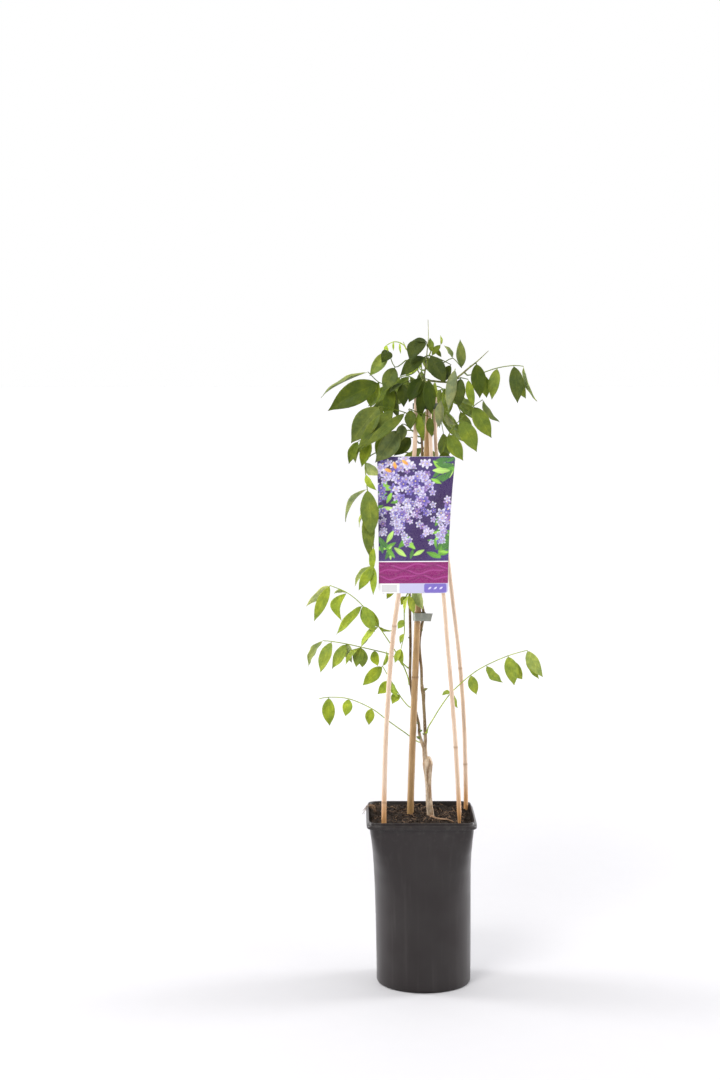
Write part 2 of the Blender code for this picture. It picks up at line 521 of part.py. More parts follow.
def build_tape(parts, main_cane, shoot):
    """A strip of tape wrapped once round the main cane and the vine, with a free tail."""
    cane, _, cane_radius = place_at(main_cane, TAPE_HEIGHT)
    stem, _, stem_radius = place_at(shoot, TAPE_HEIGHT)
    towards = (stem - cane).to_2d()
    span = towards.length
    towards.normalize()
    radius = (span + cane_radius + stem_radius) / 2
    middle = cane.to_2d() + towards * (radius - cane_radius)
    radius += GAP + TAPE_THICK
    start, turns, steps = math.radians(-70), 1.03, 20
    route = []
    for i in range(steps + 1):
        angle = start + 2 * math.pi * turns * i / steps
        reach = radius + 1.2 * MM * i / steps
        route.append(middle + Vector((math.cos(angle), math.sin(angle))) * reach)
    last = route[-1]
    route += [last + Vector((TAPE_TAIL * s, 1.2 * MM * s * s)) for s in (0.4, 0.7, 1.0)]
    curve = bpy.data.curves.new("tape_tie", "CURVE")
    curve.dimensions = "3D"
    curve.extrude = TAPE_WIDTH / 2
    spline = curve.splines.new("POLY")
    spline.points.add(len(route) - 1)
    for point, at in zip(spline.points, route):
        point.co = (at.x, at.y, TAPE_HEIGHT, 1)
    guide = bpy.data.objects.new("tape_guide", curve)
    parts.objects.link(guide)
    bpy.context.view_layer.update()
    graph = bpy.context.evaluated_depsgraph_get()
    mesh = bpy.data.meshes.new_from_object(guide.evaluated_get(graph))
    bpy.data.objects.remove(guide)
    tape = link("tape_tie", mesh, "tape", parts)
    thickness = tape.modifiers.new("thickness", "SOLIDIFY")
    thickness.thickness = TAPE_THICK
    thickness.offset = 0
    return tape


def label_front(x, z, cane):
    """How far back the label's rear face lies at (x, z): it leans on the left cane."""
    at, _, radius = place_at(cane, z)
    aside = x - at.x
    return at.y - radius * CANE_JOINT_SWELL - GAP + aside * LABEL_TURN + LABEL_BOW * aside * aside


def label_grid(cane):
    """Rows of points over the label, whose ends follow its rounded corners."""
    inset = [0.0, 0.12, 0.5, 1.0]
    tall = LABEL_TOP - LABEL_BOTTOM
    heights = [LABEL_BOTTOM + s * LABEL_CORNER for s in inset]
    heights += [LABEL_BOTTOM + tall * s for s in (0.25, 0.5, 0.75)]
    heights += [LABEL_TOP - s * LABEL_CORNER for s in reversed(inset)]
    rows = []
    for z in heights:
        share = (z - LABEL_BOTTOM) / tall
        middle = LABEL_MIDDLE_FOOT + (LABEL_MIDDLE_HEAD - LABEL_MIDDLE_FOOT) * share**2
        half = LABEL_HALF_FOOT + (LABEL_HALF_HEAD - LABEL_HALF_FOOT) * share**2
        edge = min(z - LABEL_BOTTOM, LABEL_TOP - z, LABEL_CORNER)
        half -= LABEL_CORNER - math.sqrt(LABEL_CORNER**2 - (LABEL_CORNER - edge) ** 2)
        xs = [middle + half * s for s in (-1, -0.6, -0.2, 0.2, 0.6, 1)]
        rows.append([Vector((x, label_front(x, z, cane), z)) for x in xs])
    return rows


def build_label(parts, cutters, cane):
    work = bmesh.new()
    rows = [[work.verts.new(p) for p in row] for row in label_grid(cane)]
    for low, high in zip(rows, rows[1:]):
        for i in range(len(low) - 1):
            work.faces.new((low[i], low[i + 1], high[i + 1], high[i]))
    mesh = bpy.data.meshes.new("label")
    work.to_mesh(mesh)
    work.free()
    label = link("label", mesh, "card", parts)
    thickness = label.modifiers.new("thickness", "SOLIDIFY")
    thickness.thickness = LABEL_THICK
    thickness.offset = 1
    at, _, radius = place_at(cane, LABEL_TIE_HEIGHT)
    holes = bmesh.new()
    for side in (-1, 1):
        spot = Vector((at.x + side * (radius + LABEL_HOLE_RADIUS), at.y, LABEL_TIE_HEIGHT))
        turn = Matrix.Translation(spot) @ Matrix.Rotation(math.radians(90), 4, "X")
        bmesh.ops.create_cone(holes, cap_ends=True, segments=8, radius1=LABEL_HOLE_RADIUS, radius2=LABEL_HOLE_RADIUS,
                              depth=24 * MM, matrix=turn)
    mesh = bpy.data.meshes.new("label_hole_cutter")
    holes.to_mesh(mesh)
    holes.free()
    boolean(label, link("label_hole_cutter", mesh, "card", cutters), "DIFFERENCE")
    return label


def build_label_tie(parts, cane):
    """A wire loop that passes through both label holes and round the left cane."""
    at, _, radius = place_at(cane, LABEL_TIE_HEIGHT)
    aside = radius + LABEL_HOLE_RADIUS
    front = label_front(at.x, LABEL_TIE_HEIGHT, cane) - LABEL_THICK - LABEL_TIE_WIRE - GAP
    back = at.y + radius * CANE_JOINT_SWELL + LABEL_TIE_WIRE + GAP
    middle = (front + back) / 2
    half = (back - front) / 2
    curve = bpy.data.curves.new("label_tie", "CURVE")
    curve.dimensions = "3D"
    curve.bevel_depth = LABEL_TIE_WIRE
    curve.bevel_resolution = 1
    spline = curve.splines.new("POLY")
    count = 20
    spline.points.add(count - 1)
    spline.use_cyclic_u = True
    for i, point in enumerate(spline.points):
        angle = 2 * math.pi * i / count
        c, s = math.cos(angle), math.sin(angle)
        reach = 1 / (abs(c) ** 4 + abs(s) ** 4) ** 0.25
        point.co = (at.x + aside * reach * c, middle + half * reach * s, LABEL_TIE_HEIGHT, 1)
    guide = bpy.data.objects.new("label_tie_guide", curve)
    parts.objects.link(guide)
    bpy.context.view_layer.update()
    graph = bpy.context.evaluated_depsgraph_get()
    mesh = bpy.data.meshes.new_from_object(guide.evaluated_get(graph))
    bpy.data.objects.remove(guide)
    return link("label_tie", mesh, "wire", parts)


def vine_routes(main_cane):
    """Rows of (x, y, z, radius) for the trunk, the scion and the three shoots."""
    def rows(table):
        return [Vector((*seen(*row[:3]), row[3] * MM)) for row in table]

    twine = []
    top = SHOOT_A_TWINE[-1][0]
    foot = SHOOT_A_TWINE[0][0]
    for height, angle in SHOOT_A_TWINE:
        centre, _, cane_radius = place_at(main_cane, height * MM)
        radius = (1.8 - 0.3 * (height - foot) / (top - foot)) * MM
        reach = cane_radius * CANE_JOINT_SWELL + radius + 3.5 * GAP
        turn = math.radians(angle)
        at = centre + Vector((math.cos(turn), math.sin(turn), 0)) * reach
        twine.append(Vector((*at, radius)))
    shoot_a = rows(SHOOT_A_FOOT) + twine + rows(SHOOT_A_TIP)
    return {
        "trunk": smooth(rows(TRUNK), SHOOT_STEP),
        "scion": smooth(rows(SCION), SHOOT_STEP),
        "a": smooth(shoot_a, SHOOT_STEP),
        "b": smooth(rows(SHOOT_B), SHOOT_STEP),
        "c": smooth(rows(SHOOT_C), SHOOT_STEP),
    }


def build_vine(parts, cutters, routes):
    vine = tube("vine", routes["trunk"], TUBE_SIDES_FINE, "bark", parts)
    for name in ("scion", "a", "b", "c"):
        shoot = tube("vine_" + name, routes[name], TUBE_SIDES_FINE, "bark", cutters)
        boolean(vine, shoot, "UNION")
        settle(vine)
    return vine


def blade_frame(base, tip, turn):
    """Unit vectors along the midrib, across the blade and out of its upper face."""
    along = (tip - base).normalized()
    front = Vector((0, -1, 0))
    up = front - along * front.dot(along)
    if up.length < 0.2:
        up = Vector((0, 0, 1)) - along * along.z
    up.normalize()
    up.rotate(Matrix.Rotation(math.radians(turn), 3, along))
    return along, up.cross(along), up


def add_blade(work, base, tip, width, turn, bow):
    """Adds one leaflet's closed plate, shaped from a flat disc."""
    along, across, up = blade_frame(base, tip, turn)
    length = (tip - base).length
    outline = [(t, w) for t, w in BLADE_OUTLINE] + [(t, -w) for t, w in reversed(BLADE_OUTLINE)]
    disc = bmesh.ops.create_circle(work, cap_ends=True, segments=len(outline), radius=1)["verts"]
    for vert, (t, w) in zip(disc, outline):
        side = w * width / 2 + bow * math.sin(math.pi * t)
        vert.co = base + along * length * t + across * side - up * BLADE_THICK / 2
    face = disc[0].link_faces[0]
    raised = bmesh.ops.extrude_face_region(work, geom=[face])["geom"]
    bmesh.ops.translate(work, vec=up * BLADE_THICK, verts=[g for g in raised if isinstance(g, bmesh.types.BMVert)])


def build_leaf(name, leaf, routes, parts, cutters):
    """One compound leaf: its stalk, and a plate for each leaflet, joined in one solid."""
    shoot, height = leaf["on"]
    centre, tangent, radius = place_at(routes[shoot], seen(0, 0, height).z)
    places = [p if isinstance(p, Vector) else seen(*p) for p in leaf["places"]]
    out = places[0] - centre
    out = (out - tangent * out.dot(tangent)).normalized()
    foot = centre + out * (radius + GAP)
    knee = centre + out * (radius + GAP + STALK_KNEE)
    rows = [Vector((*p, STALK_RADIUS)) for p in [foot, knee] + places]
    slot = "young_leaf" if name.startswith("shoot_tip") else "leaf"
    stalk = tube(name, smooth(rows, STALK_STEP), TUBE_SIDES_PLAIN, slot, parts)
    work = bmesh.new()
    for place, tip, width, turn, bow in leaf["leaflets"]:
        tip = tip if isinstance(tip, Vector) else seen(*tip)
        add_blade(work, places[place], tip, width * MM, turn, bow * MM)
    bmesh.ops.recalc_face_normals(work, faces=work.faces)
    mesh = bpy.data.meshes.new(name + "_blades")
    work.to_mesh(mesh)
    work.free()
    boolean(stalk, link(name + "_blades", mesh, slot, cutters), "UNION", handles_self=True)
    return stalk


def back_leaf(spec, routes):
    """Places and leaflets of a leaf that arches away from its shoot and hangs its leaflets."""
    shoot, height = spec["on"]
    centre, _, _ = place_at(routes[shoot], seen(0, 0, height).z)
    turn = math.radians(spec["heading"])
    heading = Vector((math.cos(turn), math.sin(turn), 0))
    aside = Vector((-heading.y, heading.x, 0))
    count = spec["pairs"] + 2
    places = []
    for i in range(1, count + 1):
        share = i / count
        lift = spec["rise"] * math.sin(math.pi * share) - spec["fall"] * share**2 + spec["rise"] * share * 0.5
        places.append(centre + (heading * spec["reach"] * share + Vector((0, 0, lift))) * MM)
    leaflets = []
    for pair in range(spec["pairs"]):
        place = pair + 1
        size = spec["leaflet"] * (0.82 + 0.10 * pair)
        for side in (-1, 1):
            fall = Vector((0, 0, -0.66))
            tip = places[place] + (heading * 0.36 + aside * 0.66 * side + fall) * size * MM
            leaflets.append((place, tip, size * 0.40, 20 * side, 0))
    end = places[-1] + (heading * 0.62 + Vector((0, 0, -0.78))) * spec["leaflet"] * 1.1 * MM
    leaflets.append((len(places) - 1, end, spec["leaflet"] * 0.42, 0, 0))
    return dict(on=spec["on"], places=places, leaflets=leaflets)


def main():
    clear_scene()
    parts = new_collection("wisteria_in_pot")
    cutters = new_collection("cutters")
    cutters.hide_render = True
    canes = {name: cane_route(name) for name in CANES}
    routes = vine_routes(canes["cane_main"])
    build_pot(parts, cutters)
    build_soil(parts, cutters, {**canes, "trunk": routes["trunk"]})
    for name, route in canes.items():
        slot = "cane_brown" if name == "cane_main" else "cane_pale"
        tube(name, route, TUBE_SIDES_FINE, slot, parts)
    build_clip(parts, cutters, canes)
    build_tape(parts, canes["cane_main"], routes["a"])
    build_label(parts, cutters, canes["cane_left"])
    build_label_tie(parts, canes["cane_left"])
    build_vine(parts, cutters, routes)
    leaves = dict(LEAVES)
    for name, spec in BACK_LEAVES.items():
        leaves[name] = back_leaf(spec, routes)
    for name, leaf in leaves.items():
        build_leaf(name, leaf, routes, parts, cutters)


main()
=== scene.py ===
"""A young wisteria on bamboo canes in a nursery pot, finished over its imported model.

Lengths are in metres, +Z is up, and the front, where the label hangs, faces -Y. Places
on the plant are in millimetres as (across, depth, height): across and height are read
off the front view at the plane of the pot's axis, and seen() slides each point along
the line of sight to its depth.
"""

import math
import random

import bmesh
import bpy
import numpy as np
from mathutils import Matrix, Vector, noise


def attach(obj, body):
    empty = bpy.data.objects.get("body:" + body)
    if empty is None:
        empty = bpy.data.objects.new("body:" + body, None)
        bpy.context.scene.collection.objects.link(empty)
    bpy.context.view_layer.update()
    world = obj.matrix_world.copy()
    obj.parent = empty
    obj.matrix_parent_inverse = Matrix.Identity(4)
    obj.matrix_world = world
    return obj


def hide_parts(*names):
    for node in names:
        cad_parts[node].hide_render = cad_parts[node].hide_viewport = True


bl_info = {
    "name": "Potted Wisteria",
    "version": (1, 0, 0),
    "blender": (4, 5, 0),
    "location": "View3D > Sidebar > Wisteria",
    "description": "Adds a wisteria trained up bamboo canes in a nursery pot",
    "category": "Object",
}

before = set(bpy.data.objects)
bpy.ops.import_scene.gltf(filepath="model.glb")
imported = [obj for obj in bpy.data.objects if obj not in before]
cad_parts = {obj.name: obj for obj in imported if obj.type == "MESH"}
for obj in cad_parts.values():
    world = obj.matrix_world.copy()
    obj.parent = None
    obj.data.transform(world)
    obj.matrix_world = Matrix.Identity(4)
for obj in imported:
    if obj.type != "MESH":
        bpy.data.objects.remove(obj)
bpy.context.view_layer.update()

MM = 0.001
GAP = 0.35 * MM

# The camera, from a fit to the object: its place is in millimetres and it looks down.
EYE_ACROSS = -80.0
EYE_HEIGHT = 778.5
EYE_DISTANCE = 2600.0
CAMERA_PITCH = -4.878
CAMERA_LENS = 70.24

POT_HEIGHT = 0.2150
POT_WALL = 1.2 * MM
POT_SIDES = 112
POT_ROW = 8 * MM
# How far the thin pot's rim stands to the right of its base (negative is left).
POT_LEAN = -4.4 * MM
# The body's (height, half width, squareness), where a squareness of 2 is a circle.
POT_BODY = ((0.0, 0.0555, 2.0), (0.0009, 0.0581, 2.0), (0.0034, 0.0590, 2.0), (0.070, 0.0596, 2.0),
            (0.120, 0.0602, 2.1), (0.148, 0.0608, 2.6), (0.170, 0.0617, 4.0), (0.188, 0.0629, 7.0),
            (0.2062, 0.0646, 12.0))
RIM_SQUARENESS = 12.0
COLLAR_HALF = 0.0680
COLLAR_BOTTOM = 0.2066
COLLAR_TOP = 0.2108
LIP_HALF = 0.0659
DRAIN_RADIUS = 2.0 * MM
DRAIN_RINGS = ((0.046, 12), (0.026, 6))
# Below this height the pot's inside curves in to its floor.
INSIDE_CURVE = 6 * MM

SOIL_TOP = 0.2060
SOIL_MOUND = 2.5 * MM
SOIL_HEAP = 2.6 * MM
SOIL_BANK = 4.6 * MM
SOIL_ROWS = (0.188, 0.170, 0.148, 0.120, 0.070, 0.004)
CRUMB_REACH = 59 * MM
CRUMB_SIZES = (0.5, 0.7, 0.9, 1.2, 1.8)
FIBRE_REACH = 57.5 * MM
TUFT_FIBRES = 11
SOIL_ROOT = [(9, 4, 209, 2.2), (13, -1, 207.2, 1.9), (17, -6, 206.2, 1.5), (22, -12, 205.8, 1.2),
             (30, -18, 205, 0.9), (37, -22, 202.5, 0.6)]

# Each cane: places (across, depth, height), radius at the foot and at the top, and the
# heights of its joints.
CANES = {
    "cane_main": dict(
        places=[(-18, 30, 70), (-17, 28, 206), (-15.5, 26, 270), (-13, 24, 340), (-10, 21, 420), (-7, 18, 490),
                (-2, 14, 590), (3, 11, 680), (5, 10, 739)],
        radii=(4.5, 3.6),
        joints=(120, 382, 556, 700),
    ),
    "cane_left": dict(
        places=[(-49, -40, 172), (-50, -42, 206), (-48.5, -35, 290), (-45.5, -29.5, 350), (-41.5, -25, 410),
                (-36, -20.5, 460), (-29, -16, 510), (-19, -10, 590), (-12.5, -5, 670), (-10.5, -3, 742)],
        radii=(3.1, 2.6),
        joints=(236, 452, 640),
    ),
    "cane_front_right": dict(
        places=[(43.5, -33, 160), (44.5, -34, 206), (40, -27, 290), (35.5, -22, 350), (29.5, -17, 420),
                (23.5, -12.5, 490), (14.5, -6, 580), (7.5, -1.5, 670), (6, -0.5, 736)],
        radii=(2.9, 2.1),
        joints=(302, 520),
    ),
    "cane_back_right": dict(
        places=[(48.5, 38, 172), (52.5, 43, 206), (51.2, 39, 290), (48.5, 35, 350), (43, 29.5, 415),
                (34, 22, 490), (22.5, 15, 590), (14, 10.5, 670), (12.5, 9, 733)],
        radii=(2.8, 2.2),
        joints=(268, 392, 600),
    ),
}
# A joint stands out this much from the cane, so what leans on a cane keeps clear of it.
CANE_JOINT_SWELL = 1.12
CANE_STEP = 45 * MM

# The tape goes once round the cane and the shoot, flares a little and ends in a tail.
TAPE_HEIGHT = 0.459
TAPE_WIDTH = 10 * MM
TAPE_THICK = 0.5 * MM
TAPE_TAIL = 10.5 * MM
TAPE_FLARE = 1.2 * MM
TAPE_TURN_STEPS = 72
TAPE_TAIL_STEPS = 12

# The label widens from its foot to its head, is turned a little, and bows back at its
# sides.
LABEL_BOTTOM = 0.4925
LABEL_TOP = 0.6605
LABEL_THICK = 0.5 * MM
LABEL_CORNER = 4 * MM
LABEL_MIDDLE_FOOT = -14.2 * MM
LABEL_MIDDLE_HEAD = -10.6 * MM
LABEL_HALF_FOOT = 42.8 * MM
LABEL_HALF_HEAD = 48.5 * MM
LABEL_TURN = 0.05
LABEL_BOW = 0.35

# The printed picture, in millimetres across and up the label. Leaves: (middle across and
# up, spread, how many). Sprays: (top across and up, tip across and up, how many, spread).
PRINT_MARGIN = 0.25 * MM
PRINT_LIFT = 0.2 * MM
PRINT_BAND_TOP = 38.6
PRINT_FOOT_TOP = 12.4
PRINT_LEAVES = ((34, 62, 13, 26), (-38, 52, 10, 18), (36, 156, 12, 22), (-6, 48, 12, 12), (-40, 118, 9, 10))
PRINT_GREENS = ((0.10, 0.27, 0.03), (0.20, 0.42, 0.05), (0.05, 0.15, 0.03), (0.33, 0.52, 0.12))
PRINT_SPRAYS = ((-30, 160, -12, 58, 64, 10.5), (0, 164, 20, 66, 56, 10.5), (-44, 158, -38, 70, 34, 7.0),
                (42, 116, 34, 60, 22, 5.0), (12, 124, -24, 84, 30, 9.0))
PRINT_PETALS = (((0.18, 0.10, 0.50), (0.78, 0.75, 0.93)), ((0.07, 0.04, 0.32), (0.30, 0.24, 0.68)),
                ((0.36, 0.26, 0.68), (0.94, 0.93, 0.97)), ((0.13, 0.05, 0.32), (0.46, 0.32, 0.66)),
                ((0.10, 0.06, 0.42), (0.93, 0.92, 0.97)))

# The vine: places (across, depth, height) and radius in millimetres.
TRUNK = [(10, 12, 140, 4), (8.5, 12, 206, 5.4), (6.5, 12, 224, 5), (5.6, 12, 246, 4.6), (5, 12, 262, 5),
         (4.6, 12, 272, 6), (4.6, 12, 279, 5.6), (5, 12, 285, 3.2)]
SCION = [(3.2, 12, 270, 3.4), (1.6, 12, 282, 3.3), (0.9, 12, 291, 3.1), (0.5, 12, 298, 2.9)]
SHOOT_A_FOOT = [(0.5, 12, 294, 2.4), (1.6, 12.5, 303, 2.2), (1.2, 13.5, 318, 2.1), (0.4, 14.5, 335, 2),
                (-0.6, 15.5, 352, 2), (-1, 16, 364, 2.5), (-1.8, 16.5, 369, 2.7), (-3, 17, 376, 1.9)]
# Where shoot A climbs round the main cane: (height, angle about the cane in degrees).
SHOOT_A_TWINE = [(392, 6), (405, 40), (425, 60), (445, 42), (462, 5), (476, -65), (490, -140), (512, -215),
                 (536, -285), (562, -360), (588, -435), (614, -505), (640, -550), (668, -575)]
SHOOT_A_TIP = [(-5.5, 18.5, 700, 1.5), (-6, 20, 722, 1.5), (-4, 12, 742, 1.5), (-1, 7, 758, 1.4), (1, 5, 774, 1.2),
               (2.5, 4, 790, 1), (4, 4, 806, 0.8), (3.5, 4, 828, 0.6)]
SHOOT_B = [(0.5, 12, 294, 2.4), (-2.4, 13, 302, 2.2), (-4.8, 16, 309, 2), (-6.2, 21, 316, 1.9), (-6.4, 28, 325, 1.8),
           (-10, 33, 340, 1.8), (-15, 33.5, 362, 1.7), (-17.6, 30.5, 385, 1.7), (-17.4, 27.5, 410, 1.7),
           (-17.4, 26, 440, 1.7), (-18.4, 24, 490, 1.6), (-18, 24, 530, 1.6), (-13, 25, 565, 1.6),
           (-6, 26, 600, 1.5), (1, 25, 640, 1.5), (6, 23.5, 680, 1.5), (6, 24, 715, 1.4), (1, 22, 745, 1.3),
           (-9, 16, 766, 1.2), (-19, 12, 784, 1), (-27, 10, 801, 0.7)]
SHOOT_C = [(-4, 12, 741, 1.3), (0, -2, 751, 1.3), (8, -4, 753, 1.3), (18, -1, 752, 1.2), (31, 1, 752, 1.1),
           (42, 0, 759, 1.1), (54, -1, 769, 1), (64, -1, 777, 0.9), (78, 0, 790, 0.6)]
SHOOT_A_RADII = (1.8, 1.5)
SHOOT_A_GAP = 3.5 * GAP
SHOOT_STEP = 14 * MM
# Past this share of its length a shoot thins to its tip.
THIN_FROM = 0.72
# The knob where the vine was grafted.
GRAFT_HEIGHT = 0.2745
# Each stem: name, sides and how uneven it is. Each bud: shoot, height, heading and size.
STEMS = (("trunk", 28, 0.13), ("scion", 20, 0.10), ("a", 14, 0.07), ("b", 14, 0.07), ("c", 12, 0.05))
BUDS = (("b", 305, (-0.8, -0.5, 0.5), 3.4), ("b", 313, (0.7, -0.6, 0.4), 2.6), ("a", 366, (0.9, -0.4, 0.45), 3.2),
        ("b", 322, (-0.7, -0.6, 0.2), 1.7), ("a", 310, (-0.8, -0.5, 0.5), 2.0), ("a", 780, (0.8, -0.5, 0.6), 2.0),
        ("c", 770, (0.2, -0.8, 0.6), 1.8), ("b", 430, (-0.8, -0.5, 0.6), 1.7), ("a", 440, (0.7, -0.7, 0.5), 1.7),
        ("b", 760, (-0.5, -0.8, 0.5), 1.9))

